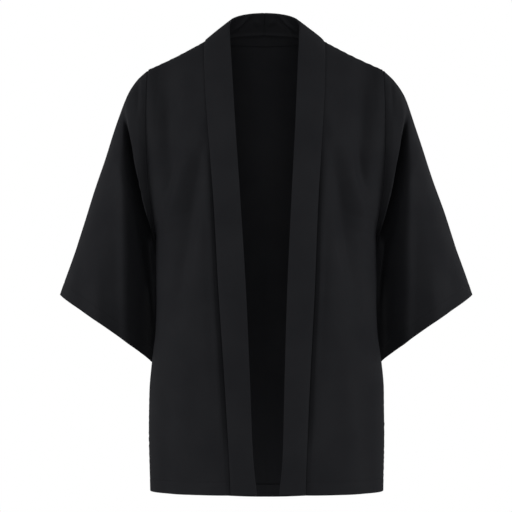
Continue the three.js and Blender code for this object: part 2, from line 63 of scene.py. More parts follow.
BODY_LENGTH = 719  # side of the neck to the hem
SHOULDER_DROP = 47  # side of the neck down to the head of the armhole
UNDERARM_DROP = 318
UNDERARM_HALF = 172
BACK_HEM_DIP = 18  # how much lower the hem hangs at the centre back
ARMHOLE_SHARE = 0.44  # share of a panel's rows that lie beside the armhole
SHOULDER_SAG = 2
TOP_FADE = 75  # drop over which the top edges melt into the regular sections
NECK_SHARE = 0.36  # share of half a back section that hangs from the shoulder seam
LEAN_NECK = -2.5  # the opening leans to one side by this much at the neck
LEAN_HEM = 3
LEAN_OF_BODY = 0.4  # the body's and sleeves' share of that lean
BAND_ROLL = 1.4  # how far the band arches between its seam and its edge
BAND_WIDTH = 41
BAND_LAYER = 0.7  # thickness of each of the band's two layers
BAND_ALLOWANCE = 1.9  # the seam inside the band is trimmed short
BAND_DIP = 10  # how deep the fronts dip into the band's seam
BAND_DIP_LEAST = 0.2  # share of that at the neck and at the hem
DIP_REACH = 6.5
TAPE_LAYER = 0.6  # thickness of the tape over the neck seam
TAPE_INSIDE = 1.1  # how far inside the back it lies
TAPE_TOP = [(-2.6, 0.95), (-1.4, 0.95), (0, 1), (1.6, 0.7), (3.2, 0.2)]  # step below the seam, further inside
TAPE_START = 5  # its first flat row, below the seam
TAPE_BELOW = 5  # its straight lower edge, below the side of the neck
TAPE_CLEAR = 100  # it lies at least this far from the back's side seams
STITCH_SHARE = 0.72  # length of a stitch's thread as a share of its pitch
STITCH_SHAPE = {"u_segments": 6, "v_segments": 5}
THREAD_PAINTED_HIGHLIGHT = 1.6  # painted highlight: how much lighter the thread's colour is painted on its upper strands
THREAD_LIES = Matrix.Rotation(math.pi / 2, 4, "Y")  # lays a sphere's poles along a stitch


class Rows:
    """A table with named columns, read at any value of its first column by curves that never overshoot."""

    def __init__(self, names, *rows):
        ordered = np.array(sorted(rows), float)
        self.keys = ordered[:, 0]
        self.columns = dict(zip(names.split()[1:], ordered[:, 1:].T))

    def read(self, name, at):
        x, y = self.keys, self.columns[name]
        slope = np.diff(y) / np.diff(x)
        before, after = slope[:-1], slope[1:]
        same_way = before * after > 0
        inner = np.where(same_way, 2 * before * after / np.where(same_way, before + after, 1), 0)
        tangent = np.concatenate([slope[:1], inner, slope[-1:]])
        at = np.clip(at, x[0], x[-1])
        i = np.clip(np.searchsorted(x, at, side="right") - 1, 0, len(x) - 2)
        width = x[i + 1] - x[i]
        t = (at - x[i]) / width
        r = 1 - t
        ends = y[i] * (1 + 2 * t) * r**2 + y[i + 1] * t**2 * (3 - 2 * t)
        return ends + width * (tangent[i] * t * r**2 - tangent[i + 1] * t**2 * r)


# Side seam, and the steps in which each panel leaves it.
SIDE_SEAM = Rows(
    "z x out_front forward out_back backward",
    (-318, 172, 12, 50, 10, 52),
    (-363, 169.5, 24, 60, 18, 60),
    (-414, 166.5, 30, 64, 22, 64),
    (-465, 170, 27, 66, 18, 66),
    (-514, 180, 16, 68, 10, 68),
    (-560, 186, 6, 68, 4, 68),
    (-620, 188, 0, 68, 0, 68),
    (-719, 186, 0, 68, 0, 68),
)

# The steps in which the panels leave the armhole, by the share of the way down it.
ARMHOLE_LEADS = Rows(
    "share in_front forward in_back backward",
    (0, 31, 0, 46, 24),
    (0.25, 33, 10, 44, 22),
    (0.55, 32, 20, 38, 24),
    (0.8, 16, 34, 18, 38),
    (1, -12, 50, -10, 52),
)

# The collar band from the centre back to the hem: seam x, y, z and free edge x, y, z.
BAND_SECTIONS = np.array(
    [
        (0, 80, 15, 0, 58, 48.5),
        (40, 72, 12.5, 25, 53, 46.5),
        (73, 47, 7, 44, 36, 40.5),
        (94, 0, 0, 55, 2, 29),
        (96, -30, -15, 55, -42, 2),
        (95.5, -60, -48, 52.5, -69, -39),
        (93.5, -84, -97, 50, -90, -88),
        (90, -100, -150, 47, -106, -144),
        (82.5, -115, -255, 40.5, -121, -252),
        (75.5, -120, -400, 32.5, -126, -400),
        (67.5, -121, -535, 27.5, -127, -535),
        (61, -120, -665, 23, -126, -665),
        (59, -119, -719, 17.5, -125, -719),
    ],
    float,
)
NECK_ROW = 3  # the section at the shoulder seam
NECK_AT = NECK_ROW / (len(BAND_SECTIONS) - 1)

BACK_MIDDLE = Rows(
    "fall y pull",
    (0, 80, 44),
    (25, 90, 50),
    (70, 103, 60),
    (140, 114, 70),
    (240, 119, 78),
    (360, 116, 80),
    (520, 116, 80),
    (752, 119, 80),
)

FRONT_PULL = Rows(
    "fall out back",
    (0, 31, 0),
    (60, 26, 9),
    (150, 34, 7),
    (270, 46, 4),
    (400, 60, 3),
    (720, 62, 3),
)

SLEEVE_EDGES = Rows(
    "at top_x top_z under_x under_y under_z",
    (0, 188, -47, 174.5, 0, -318),
    (0.06, 205, -62.5, 174.7, 0, -320),
    (0.15, 221.5, -88, 175, 0, -323),
    (0.24, 235, -125, 175.2, 6, -334),
    (0.36, 249.5, -168, 175, 24, -358),
    (0.6, 280.5, -260, 174, 50, -420),
    (0.8, 306, -338, 173, 62, -477),
    (1, 329.5, -406, 174, 70, -528),
)
SLEEVE_FRONT = Rows(
    "at upper_x upper_y upper_z lower_x lower_y lower_z",
    (0, 190, 80, -75, 194, 100, -250),
    (0.06, 208, 86, -85, 200, 112, -255),
    (0.15, 224, 85, -100, 200, 115, -262),
    (0.24, 214, 62, -130, 190, 10, -262),
    (0.36, 246, 80, -182, 212, 66, -272),
    (0.6, 272, 80, -278, 196, 84, -364),
    (0.8, 296, 84, -354, 198, 98, -428),
    (1, 316, 88, -418, 205, 96, -482),
)
SLEEVE_BACK = Rows(
    "at upper_x upper_y upper_z lower_x lower_y lower_z",
    (0, 190, 84, -75, 194, 104, -250),
    (0.06, 208, 90, -85, 200, 112, -255),
    (0.15, 225, 90, -104, 204, 114, -264),
    (0.26, 233, 82, -142, 196, 68, -280),
    (0.38, 249, 84, -190, 208, 84, -292),
    (0.6, 272, 84, -278, 198, 98, -364),
    (0.8, 296, 84, -354, 198, 98, -428),
    (1, 316, 84, -418, 205, 98, -482),
)

# The crest along which the front of a sleeve turns in towards the body, and the dent beside it: how far it is
# pushed back, and over what width.
DENT = Rows(
    "z crest_x depth width",
    (-130, 229, 40, 22),
    (-230, 226.5, 37, 34),
    (-320, 224.5, 34, 45),
    (-470, 222, 34, 45),
)
DENT_START = 0.16, 0.25  # shares of the sleeve's length over which the dent sets in
DENT_END = 0.84, 1  # shares of the way down a ring over which it fades out again
CREST_RISE = 7  # how far the crest stands forward
CREST_HALF = 10
ARMHOLE_MELT = 0.08  # share of the sleeve's length over which its armhole edge melts into its rings

# --------------------------------------------------------------------------------------------------
# Folds: soft ridges (height above 0) and troughs (below 0) from one place to another, seen from the front or
# the back. half is the distance from its line at which a fold has faded to about a third, and end_half the
# same at its far end. bow bends the line sideways, inwards where it is above 0, and peak is the share of its
# length where it is strongest.

FOLD_COLUMNS = "from_x from_z to_x to_z height half end_half bow peak"


def folds(*rows):
    return [dict(zip(FOLD_COLUMNS.split(), row)) for row in rows]


FRONT_FOLDS = folds(
    (128, -470, 134, -780, 3, 15, 15, 0, 0.5),
    (158, -500, 162, -800, -2.5, 13, 13, 0, 0.5),
    (98, -190, 78, -620, -3, 12, 12, 0, 0.5),  # trough beside the band
)
LEFT_FRONT_FOLDS = folds(
    (160, -32, 151, -250, -11, 21, 11, 0, 0.36),  # hollow below the shoulder
    (100, -120, 166, -368, 7.5, 11, 14, -8, 0.5),  # drag ridge, from the chest to the underarm
    (100, -160, 150, -470, -10.5, 12, 15, 0, 0.5),  # drag trough below it
    (92, -120, 112, -190, 3, 9, 9, 0, 0.5),
    (140, -180, 162, -275, -4, 8, 8, 0, 0.5),
)
RIGHT_FRONT_FOLDS = folds(  # the same kinds of folds on the other front
    (157, -32, 149, -254, -11, 21, 11, 0, 0.36),
    (112, -140, 168, -364, 7.5, 11, 14, -4, 0.5),
    (104, -165, 150, -455, -10.5, 12, 15, 1, 0.5),
    (146, -160, 158, -262, -5, 8, 9, 0, 0.5),
    (93, -110, 108, -176, 3, 9, 9, 0, 0.5),
)
BACK_FOLDS = folds(
    (92, -150, 166, -330, 5, 17, 17, 0, 0.5),
    (88, -215, 156, -430, -6, 15, 15, 0, 0.5),
    (18, -260, 12, -820, -4, 22, 22, 0, 0.5),
    (72, -380, 66, -820, 4, 20, 20, 0, 0.5),
    (122, -430, 126, -820, -4, 18, 18, 0, 0.5),
)
SLEEVE_FOLDS = folds(
    (266, -330, 270, -520, 4, 12, 12, 0, 0.5),
    (292, -320, 298, -480, -2.5, 10, 10, 0, 0.5),
)
LEFT_SLEEVE_FOLDS = folds(
    (197, -56, 196, -130, 2.2, 3.2, 3.2, 0, 0.5),  # gathers beside the head of the armhole
    (203, -60, 204, -130, -2.8, 3.6, 3.6, 0, 0.5),
)
RIGHT_SLEEVE_FOLDS = folds(
    (194, -52, 193, -128, 2.2, 3.2, 3.2, 0, 0.5),
    (200, -56, 201, -128, -2.8, 3.6, 3.6, 0, 0.5),
)
SLEEVE_BACK_FOLDS = folds(
    (226, -150, 224, -520, 4, 14, 14, 0, 0.5),
    (214, -120, 196, -540, -7, 13, 16, 0, 0.45),
)
BAND_FOLDS = folds(  # x across the band from its seam, z down along it from the centre back
    (38, -28, 4, -52, 3.6, 4, 5, 0, 0.5),  # where it bends round the side of the neck
    (40, -40, 8, -64, -3.5, 5, 6, 0, 0.5),
    (16, -4, 30, -24, -1.6, 5, 5, 0, 0.5),
    (-20, 0, 66, 0, -2.6, 1.8, 1.8, 0, 0.5),  # its two halves' seam, drawn in
)


def fold_push(table, x, z):
    """How far a table of folds moves the cloth outwards, in millimetres."""
    push = np.zeros(np.shape(x))
    for fold in table:
        run_x, run_z = fold["to_x"] - fold["from_x"], fold["to_z"] - fold["from_z"]
        length = math.hypot(run_x, run_z)
        along = ((x - fold["from_x"]) * run_x + (z - fold["from_z"]) * run_z) / length**2
        away = ((x - fold["from_x"]) * run_z - (z - fold["from_z"]) * run_x) / length
        along = np.clip(along, 0, 1)
        swell = np.sin(math.pi * along ** (math.log(0.5) / math.log(fold["peak"])))
        half = mix(fold["half"], fold["end_half"], along)
        push += fold["height"] * swell * np.exp(-(((away - fold["bow"] * swell) / half) ** 2))
    return push


# --------------------------------------------------------------------------------------------------
# Surfaces of the cut pieces. Each takes arrays of two parameters, from 0 to 1, or from -1 where it says so.


def xyz(x, y, z):
    return np.stack(np.broadcast_arrays(x, y, z), axis=-1).astype(float)


def mix(a, b, t):
    return a + (b - a) * t


def smoothstep(t):
    t = np.clip(t, 0, 1)
    return t * t * (3 - 2 * t)


def rising(value, low, high):
    return smoothstep((value - low) / (high - low))


def cubic(t, a, b, c, d):
    r = 1 - t
    return a * r**3 + 3 * b * r**2 * t + 3 * c * r * t**2 + d * t**3


def unit(vectors):
    return vectors / np.maximum(np.linalg.norm(vectors, axis=-1, keepdims=True), 1e-12)


def leaned(points, share):
    """The points moved to one side by a share of the opening's lean at their height."""
    lean = mix(LEAN_NECK, LEAN_HEM, np.clip(-points[..., 2] / BODY_LENGTH, 0, 1))
    points[..., 0] += share * lean
    return points


def band_curve(edge):
    """The band's seam or free edge: a centripetal Catmull-Rom curve, centre back (0) to hem (1)."""
    points = BAND_SECTIONS[:, :3] if edge == "seam" else BAND_SECTIONS[:, 3:]
    ahead = points[1] * (-1, 1, 1)
    past = 2 * points[-1] - points[-2]
    knots = np.vstack([ahead, points, past])
    gaps = np.linalg.norm(np.diff(knots, axis=0), axis=1)[:, None] ** 0.5

    def curve(t):
        place = np.clip(np.asarray(t, float), 0, 1) * (len(points) - 1)
        i = np.clip(place.astype(int), 0, len(points) - 2)
        w = (place - i)[..., None]
        p0, p1, p2, p3 = (knots[i + k] for k in range(4))
        d0, d1, d2 = (gaps[i + k] for k in range(3))
        t1 = ((p1 - p0) / d0 - (p2 - p0) / (d0 + d1) + (p2 - p1) / d1) * d1
        t2 = ((p2 - p1) / d1 - (p3 - p1) / (d1 + d2) + (p3 - p2) / d2) * d1
        return p1 + t1 * w + (3 * (p2 - p1) - 2 * t1 - t2) * w**2 + (2 * (p1 - p2) + t1 + t2) * w**3

    return curve


band_seam = band_curve("seam")
band_edge = band_curve("edge")


FALL_STEPS = 2000
SLOPE_STEP = 1e-3  # how far apart in a parameter are the places between which a slope is taken
UNDERARM_CURVE = 4  # how late on its way down the armhole's edge leaves the sleeve's first ring
NECK_CURVE = 1.5  # how late on their way inwards the back's rows rise to their middle


def where_falls(quantity, low, high):
    """A function that gives where a falling quantity reaches a height."""
    places = np.linspace(low, high, FALL_STEPS + 1)
    heights = quantity(places)
    return lambda height: np.interp(height, heights[::-1], places[::-1])


front_seam_share = where_falls(lambda t: band_seam(t)[..., 2], NECK_AT, 1)


def ring_point(at, share, face):
    """The sleeve's ring: share runs from the top fold (0) to the underarm (1), over the front or back."""

    def edge(name):
        return SLEEVE_EDGES.read(name, at)

    def pole(name):
        return np.where(face < 0, SLEEVE_FRONT.read(name, at), SLEEVE_BACK.read(name, at))

    points = xyz(
        cubic(share, edge("top_x"), pole("upper_x"), pole("lower_x"), edge("under_x")),
        cubic(share, 0, face * pole("upper_y"), face * pole("lower_y"), edge("under_y")),
        cubic(share, edge("top_z"), pole("upper_z"), pole("lower_z"), edge("under_z")),
    )
    dented = rising(at, *DENT_START) * (1 - rising(share, *DENT_END)) * (np.asarray(face) < 0)
    points[..., 1] += dented * dent_at(points[..., 0], points[..., 2])
    return points


def dent_at(x, z):
    """How far the front of a sleeve is pushed back at a place, and less than 0 at the crest."""
    crest = DENT.read("crest_x", z)
    rise = CREST_RISE * np.exp(-(((x - crest) / CREST_HALF) ** 2))
    return DENT.read("depth", z) * smoothstep((crest - x) / DENT.read("width", z)) - rise


def armhole_point(share, face):
    points = ring_point(np.zeros(np.shape(share)), share, face)
    points[..., 0] -= underarm_step(share)
    return points


def underarm_step(share):
    """How far inside the sleeve's first ring the armhole's edge runs, towards the underarm point."""
    return (SLEEVE_EDGES.columns["under_x"][0] - UNDERARM_HALF) * share**UNDERARM_CURVE


def outer_edge(v, face):
    """The outer edge of a body panel at row v: down the armhole, then down the side seam."""
    v = np.asarray(v, float)
    armhole = armhole_point(np.clip(v / ARMHOLE_SHARE, 0, 1), face)
    z = mix(-UNDERARM_DROP, -BODY_LENGTH, np.clip((v - ARMHOLE_SHARE) / (1 - ARMHOLE_SHARE), 0, 1))
    side = xyz(SIDE_SEAM.read("x", z), 0, z)
    return np.where((v <= ARMHOLE_SHARE)[..., None], armhole, side)


def outer_lead(v, face):
    """The step in x and y with which a panel leaves its outer edge at row v."""
    name = "front" if face < 0 else "back"
    deep = "forward" if face < 0 else "backward"
    share = np.clip(v / ARMHOLE_SHARE, 0, 1)
    z = outer_edge(v, face)[..., 2]
    beside = v <= ARMHOLE_SHARE
    out = np.where(beside, -ARMHOLE_LEADS.read("in_" + name, share), SIDE_SEAM.read("out_" + name, z))
    depth = np.where(beside, ARMHOLE_LEADS.read(deep, share), SIDE_SEAM.read(deep, z))
    return out, face * depth


def fall_share(v):
    """Share of the way from the shoulder to the hem at row v."""
    return (-SHOULDER_DROP - outer_edge(v, -1)[..., 2]) / (BODY_LENGTH - SHOULDER_DROP)


def top_share(v):
    """How much of a top edge's own shape is left at row v."""
    return 1 - np.sqrt(np.clip(fall_share(v) * BODY_LENGTH / TOP_FADE, 0, 1))


row_at_height = where_falls(lambda v: -fall_share(v) * BODY_LENGTH, 0, 1)


def front_surface(u, v, side):
    """Front: u from the armhole and side seam to the collar seam, v from the shoulder seam to the hem."""
    outer = outer_edge(v, -1)
    fall = fall_share(v) * BODY_LENGTH
    inner = band_seam(front_seam_share(-fall))
    lead_x, lead_y = outer_lead(v, -1)
    out, back = FRONT_PULL.read("out", fall), FRONT_PULL.read("back", fall)
    sag = SHOULDER_SAG * np.sin(math.pi * u) * top_share(v)
    points = xyz(
        side * cubic(u, outer[..., 0], outer[..., 0] + lead_x, inner[..., 0] + out, inner[..., 0]),
        cubic(u, outer[..., 1], outer[..., 1] + lead_y, inner[..., 1] + back, inner[..., 1]),
        mix(outer[..., 2], inner[..., 2], u) - sag,
    )
    return leaned(points, mix(LEAN_OF_BODY, 1, u))


def back_top(half):
    """The back's top edge: the shoulder seam, then the neckline to the centre back."""
    shoulder = np.clip(half / NECK_SHARE, 0, 1)[..., None]
    corner = armhole_point(np.zeros(np.shape(half)), 1)
    seam = mix(corner, band_seam(np.full(np.shape(half), NECK_AT)), shoulder)
    seam[..., 2] -= SHOULDER_SAG * np.sin(math.pi * shoulder[..., 0])
    neckline = band_seam(neck_at(half))
    return np.where((half < NECK_SHARE)[..., None], seam, neckline)


def neck_at(half):
    """The band's parameter where it meets the back at a share of half the back's top edge."""
    return NECK_AT * (1 - (half - NECK_SHARE) / (1 - NECK_SHARE))


def back_section(half, v):
    outer = outer_edge(v, 1)
    top = BAND_SECTIONS[0, 2]
    fall = fall_share(v) * (BODY_LENGTH + BACK_HEM_DIP + top)
    middle_y, pull = BACK_MIDDLE.read("y", fall), BACK_MIDDLE.read("pull", fall)
    lead_x, lead_y = outer_lead(v, 1)
    rise = (top - fall - outer[..., 2]) * np.sin(math.pi / 2 * half) ** NECK_CURVE
    return xyz(
        cubic(half, outer[..., 0], outer[..., 0] + lead_x, pull, 0),
        cubic(half, outer[..., 1], outer[..., 1] + lead_y, middle_y, middle_y),
        outer[..., 2] + rise,
    )


def back_surface(u, v):
    """Back: u from one side (-1) through the middle (0) to the other (1), v from the top edge to the hem."""
    u, v = np.broadcast_arrays(np.asarray(u, float), np.asarray(v, float))
    half = 1 - np.abs(u)
    fade = top_share(v)
    points = back_section(half, v)
    points += (back_top(half) - back_section(half, np.zeros(np.shape(v)))) * fade[..., None]
    points[..., 0] *= np.where(u < 0, -1, 1)
    return leaned(points, mix(LEAN_OF_BODY, 1, np.minimum(1, half / NECK_SHARE) * fade))


def sleeve_surface(a, s, side):
    """Sleeve: a from the underarm seam up the back, over the top fold (0.5) and down the front again."""
    share = np.abs(1 - 2 * a)
    points = ring_point(s, share, np.where(a < 0.5, 1, -1))
    points[..., 0] -= underarm_step(share) * (1 - rising(s, 0, ARMHOLE_MELT))
    points[..., 0] *= side
    return leaned(points, LEAN_OF_BODY)


def band_surface(q, t, side):
    """Collar band: q from its seam to its free edge, t from the centre back to the hem."""
    seam, edge = band_seam(t), band_edge(t)
    along = band_seam(np.clip(t + SLOPE_STEP, 0, 1)) - band_seam(np.clip(t - SLOPE_STEP, 0, 1))
    outward = unit(np.cross(edge - seam, along))
    q = np.asarray(q, float)[..., None]
    points = mix(seam, edge, q) + outward * 4 * BAND_ROLL * q * (1 - q)
    points[..., 0] *= side
    return leaned(points, 1)


SOFT_SPAN = 0.07  # share of a panel's rows over which it is softened
SOFT_REACH = 0.055  # how far apart, in shares of its rows, are the three places that are averaged
SOFT_START = 0.25  # share of the way inwards over which the softening sets in


class Panel:
    """A cut piece's surface, the way round in which it faces out, and its first parameter's range."""

    def __init__(self, surface, turn, first=(0, 1)):
        self.surface, self.turn, self.first = surface, turn, first

    def slopes(self, a, b):
        step = SLOPE_STEP
        low, high = self.first
        along_a = self.surface(np.minimum(high, a + step), b) - self.surface(np.maximum(low, a - step), b)
        along_b = self.surface(a, np.minimum(1, b + step)) - self.surface(a, np.maximum(0, b - step))
        return unit(along_a), unit(along_b)

    def normal(self, a, b):
        along_a, along_b = self.slopes(a, b)
        return unit(np.cross(along_a, along_b)) * self.turn


def softened(surface, inward):
    """The surface, with its bend at the underarm's height spread out away from its outer edge."""

    def soft(u, v):
        window = np.exp(-(((v - ARMHOLE_SHARE) / SOFT_SPAN) ** 2))
        reach = SOFT_REACH * window * rising(inward(u), 0, SOFT_START)
        above, below = surface(u, np.maximum(0, v - reach)), surface(u, np.minimum(1, v + reach))
        return (above + 2 * surface(u, v) + below) / 4

    return soft


BACK = Panel(softened(back_surface, lambda u: 1 - np.abs(u)), 1, (-1, 1))
FRONTS = {
    side: Panel(softened(lambda u, v, side=side: front_surface(u, v, side), lambda u: u), side)
    for side in (-1, 1)
}
SLEEVES = {side: Panel(lambda a, s, side=side: sleeve_surface(a, s, side), side) for side in (-1, 1)}
BANDS = {side: Panel(lambda q, t, side=side: band_surface(q, t, side), side) for side in (-1, 1)}


# --------------------------------------------------------------------------------------------------
# The normals of the neighbours along each sewn edge, with which both sides of a seam turn in together


def beside_armhole(v):
    return v <= ARMHOLE_SHARE


def meets_front(side):
    def meet(u, v):
        total = np.zeros(np.shape(u) + (3,))
        share = np.clip(v / ARMHOLE_SHARE, 0, 1)
        outer = (u == 0)[..., None]
        beside = beside_armhole(v)[..., None]
        total += np.where(outer & ~beside, BACK.normal(np.full(np.shape(v), side), v), 0)
        total += np.where(outer & beside, SLEEVES[side].normal((1 + share) / 2, 0 * v), 0)
        total += np.where((v == 0)[..., None], BACK.normal(side * (1 - u * NECK_SHARE), 0 * v), 0)
        at = front_seam_share(-fall_share(v) * BODY_LENGTH)
        total += np.where((u == 1)[..., None], BANDS[side].normal(0 * v, at), 0)
        return total

    return meet


def meets_back(u, v):
    half = 1 - np.abs(u)
    share = np.clip(v / ARMHOLE_SHARE, 0, 1)
    total = np.zeros(np.shape(u) + (3,))
    for side in (-1, 1):
        here = (u < 0) if side < 0 else (u >= 0)
        outer = (here & (half == 0))[..., None]
        beside = beside_armhole(v)[..., None]
        total += np.where(outer & ~beside, FRONTS[side].normal(0 * v, v), 0)
        total += np.where(outer & beside, SLEEVES[side].normal((1 - share) / 2, 0 * v), 0)
        top = here & (v == 0)
        along = np.clip(half / NECK_SHARE, 0, 1)
        total += np.where((top & (half <= NECK_SHARE))[..., None], FRONTS[side].normal(along, 0 * v), 0)
        at = np.clip(neck_at(half), 0, NECK_AT)
        total += np.where((top & (half >= NECK_SHARE))[..., None], BANDS[side].normal(0 * v, at), 0)
    return total


def meets_sleeve(side):
    def meet(a, s):
        share = np.abs(1 - 2 * a)
        front = FRONTS[side].normal(0 * share, share * ARMHOLE_SHARE)
        back = BACK.normal(np.full(np.shape(share), side), share * ARMHOLE_SHARE)
        total = np.where((s == 0)[..., None], np.where((a > 0.5)[..., None], front, back), 0)
        underarm = ((a == 0) | (a == 1))[..., None]
        return total + np.where(underarm, SLEEVES[side].normal(1 - a, s), 0)

    return meet


def meets_band(side):
    def meet(q, t):
        row = row_at_height(band_seam(t)[..., 2])
        front = FRONTS[side].normal(np.ones(np.shape(t)), row)
        half = NECK_SHARE + (1 - t / NECK_AT) * (1 - NECK_SHARE)
        back = BACK.normal(side * (1 - np.clip(half, 0, 1)), 0 * t)
        beside = (t >= NECK_AT)[..., None]
        return np.where((q == 0)[..., None], np.where(beside, front, back), 0)

    return meet


# --------------------------------------------------------------------------------------------------
# Grids of cloth. Every edge that is sewn rolls into its seam, and every hem turns up inside.

SEAM_ROLL = [(0.48, 1.1), (0.75, 0.5), (1.3, 0.15), (2.1, 0)]  # step in from a seam, drop below the cloth
SEAM_STEP = 0.43  # half a layer of cloth and a little more
LEAST_ALLOWANCE = 1.2  # depth of the seams at the underarm point
UNDERARM_TRIM = 0.14  # how much deeper they are for each millimetre away from it
FIRST_ROW = 4.5  # distance from a sewn top edge to the first flat row
LAST_ROW = 29  # distance from the hem to the last row of those
HEM_ROUND = 0.65  # radius of a hem's fold
HEM_FOLD_STEPS = 7
HEM_ROWS = (26, 23, 21.5, 20.6, 20, 19.4, 18.5, 17, 14, 10, 6, 3, 1.4)  # distances above a hem's fold
HEM_FLAP = (3, 8, 13, 17, 19, 20)  # the same of the turned-up cloth
STITCH_HEIGHT = 20  # distance from a hem's fold to its stitching
TRACE_STEPS = 400  # steps in which a column of cloth is measured
TRACE_CROWDING = 1.5  # how much closer together they are at its top

# Grid lines across and down each kind of piece: flat columns, flat rows.
BACK_LINES = 46, 190
FRONT_LINES = 96, 230
SLEEVE_LINES = 180, 145
BAND_LINES = 18, 400
TAPE_LINES = 60, 18


def eased(count, low, high, tight):
    """Parameters from low to high, closer together at both ends."""
    t = np.linspace(0, 1, count)
    return low + (high - low) * (t - tight * np.sin(2 * math.pi * t) / (2 * math.pi))


def seam_roll(depth):
    """Steps in from the seam and drops below the cloth, from the raw edge inside to the flat cloth."""
    return [(SEAM_STEP, depth), (SEAM_STEP, (depth + SEAM_ROLL[0][1]) / 2)] + SEAM_ROLL


def both_sides(half):
    """The back's parameters from one side to the other, from those of one half that end at 1, its middle."""
    return np.concatenate([half - 1, (1 - half)[-2::-1]])


def columns_between(low, high, regular, depth):
    """Columns that are sewn on both sides: parameter, step in, drop."""
    roll = seam_roll(depth)
    start = [(low, step, drop) for step, drop in roll]
    flat = [(value, 0, 0) for value in regular]
    end = [(high, -step, drop) for step, drop in roll[::-1]]
    return np.array(start + flat + end, float)


def rows_to_hem(count, depth):
    """Rows from a sewn top to a hem: distance added to a share of the length, that share, step in, drop."""
    start = [(0, 0, step, drop) for step, drop in seam_roll(depth)]
    flat = [(mix(FIRST_ROW, -LAST_ROW, share), share, 0, 0) for share in np.linspace(0, 1, count)]
    low = [(-distance, 1, 0, 0) for distance in HEM_ROWS]
    turns = np.linspace(0, math.pi, HEM_FOLD_STEPS)
    fold = [(-HEM_ROUND * (1 - math.sin(t)), 1, 0, HEM_ROUND * (1 - math.cos(t))) for t in turns]
    flap = [(-distance, 1, 0, 2 * HEM_ROUND) for distance in HEM_FLAP]
    return np.array(start + flat + low + fold + flap, float)


def measured(points, axis):
    """Lengths along a grid's lines from its first line."""
    steps = np.linalg.norm(np.diff(points, axis=axis), axis=2)
    return np.insert(np.cumsum(steps, axis=axis), 0, 0, axis=axis)


def lay_cloth(panel, columns, rows, meets, relief, allowance, lengths=None):
    """The places of a cloth grid's points. lengths replaces the measured lengths of its columns.

    relief and allowance are asked about a place: its first parameter, its x and z, and its distances from the
    grid's left, right, top and hem.
    """
    value, step_across, drop_across = columns.T
    offset, share, step_down, drop_down = (field[:, None] for field in rows.T)
    trace = np.linspace(0, 1, TRACE_STEPS + 1)[:, None] ** TRACE_CROWDING
    run = measured(panel.surface(value[None, :], trace), 0)
    reach = offset + share * (run[-1] if lengths is None else lengths)
    b = np.stack([np.interp(reach[:, i], run[:, i], trace[:, 0]) for i in range(len(value))], axis=1)
    a = np.broadcast_to(value, b.shape)
    base = panel.surface(a, b)
    along_a, along_b = panel.slopes(a, b)
    normal = unit(unit(np.cross(along_a, along_b)) * panel.turn + meets(a, b))
    over = unit(np.cross(along_b, normal)) * panel.turn
    down = unit(np.cross(normal, along_a)) * panel.turn
    left = measured(base, 1)
    place = SimpleNamespace(
        a=a,
        x=base[..., 0],
        z=base[..., 2],
        left=left,
        right=left[:, -1:] - left,
        top=reach,
        hem=run[-1] - reach,
    )
    drop = np.minimum(np.maximum(drop_across, drop_down), allowance(place))
    lift = (relief(place) - drop)[..., None]
    return base + step_across[:, None] * over + step_down[..., None] * down + lift * normal


# --------------------------------------------------------------------------------------------------
# Low relief of sewn cloth

FOLD_FADE = 20  # distance from a seam over which folds die away
UNDERARM_FADE = 12  # the same beside a sleeve's underarm seam
TOP_FOLD_FADE = 0.08  # share of the way round a sleeve over which one face's folds die away at its top fold
BODY_HEM_FADE = 40  # distance from a hem over which the puckers of the seams die away
CUFF_FADE = 30
HEM_GROOVE = 0.25  # how far the stitching pulls a hem in
HEM_GROOVE_HALF = 1.1
HEM_STEP = 0.12  # how far the doubled cloth of a hem stands out
HEM_STEP_RUN = 3
DIP_SETS_IN = 120, 280  # depths below the neck between which the fronts' dip beside the band grows
DIP_FADES = 580, 690  # and between which it fades again

PUCKER_REACH = 9  # distance from a seam over which its puckers die away
PUCKER_PITCH = 8, 19
PUCKER_WAVES = 4
PUCKERS = 0.28  # height of the puckers of the long seams
TOP_PUCKERS = 0.2  # of the shoulder, neck and front edges
BAND_PUCKERS = 0.18

RIPPLE_WAVES = 7
RIPPLE_EVEN = 3  # divides their sum, to bring it between about -1 and 1
RIPPLE_SPREAD = 0.7, 1.6  # their pitches as shares of the pitch asked for
WAVES = {  # slow waves in each kind of piece: height, pitch, how much they are drawn out down the piece
    "front": (0.55, 62, 0.45),
    "back": (0.6, 70, 0.45),
    "sleeve": (0.5, 60, 0.5),
    "band": (0.35, 55, 0.4),
}
SEEDS = {"front": 20, "back": 31, "sleeve": 40, "band": 60}


def fade_in(distance, reach=FOLD_FADE):
    return smoothstep(distance / reach)


def ripple(x, y, seed, pitch):
    """Uneven waves between about -1 and 1, from crossed sines whose directions and phases a seed sets."""
    rng = np.random.default_rng(seed)
    total = np.zeros(np.shape(x))
    for _ in range(RIPPLE_WAVES):
        angle = rng.uniform(0, 2 * math.pi)
        scale = 2 * math.pi / (pitch * rng.uniform(*RIPPLE_SPREAD))
        total += np.sin(scale * (x * math.cos(angle) + y * math.sin(angle)) + rng.uniform(0, 2 * math.pi))
    return total / RIPPLE_EVEN


def slow_waves(kind, across, down, seed):
    height, pitch, drawn_out = WAVES[kind]
    return height * ripple(across, down * drawn_out, seed, pitch)


def puckers(distance, run, seed, depth=PUCKERS):
    """Small uneven waves that a seam's stitching draws into the cloth beside it."""
    rng = np.random.default_rng(seed)
    wave = np.zeros(np.shape(run))
    for _ in range(PUCKER_WAVES):
        wave += np.sin(2 * math.pi * run / rng.uniform(*PUCKER_PITCH) + rng.uniform(0, 2 * math.pi))
    return depth / 2 * wave * np.exp(-distance / PUCKER_REACH)


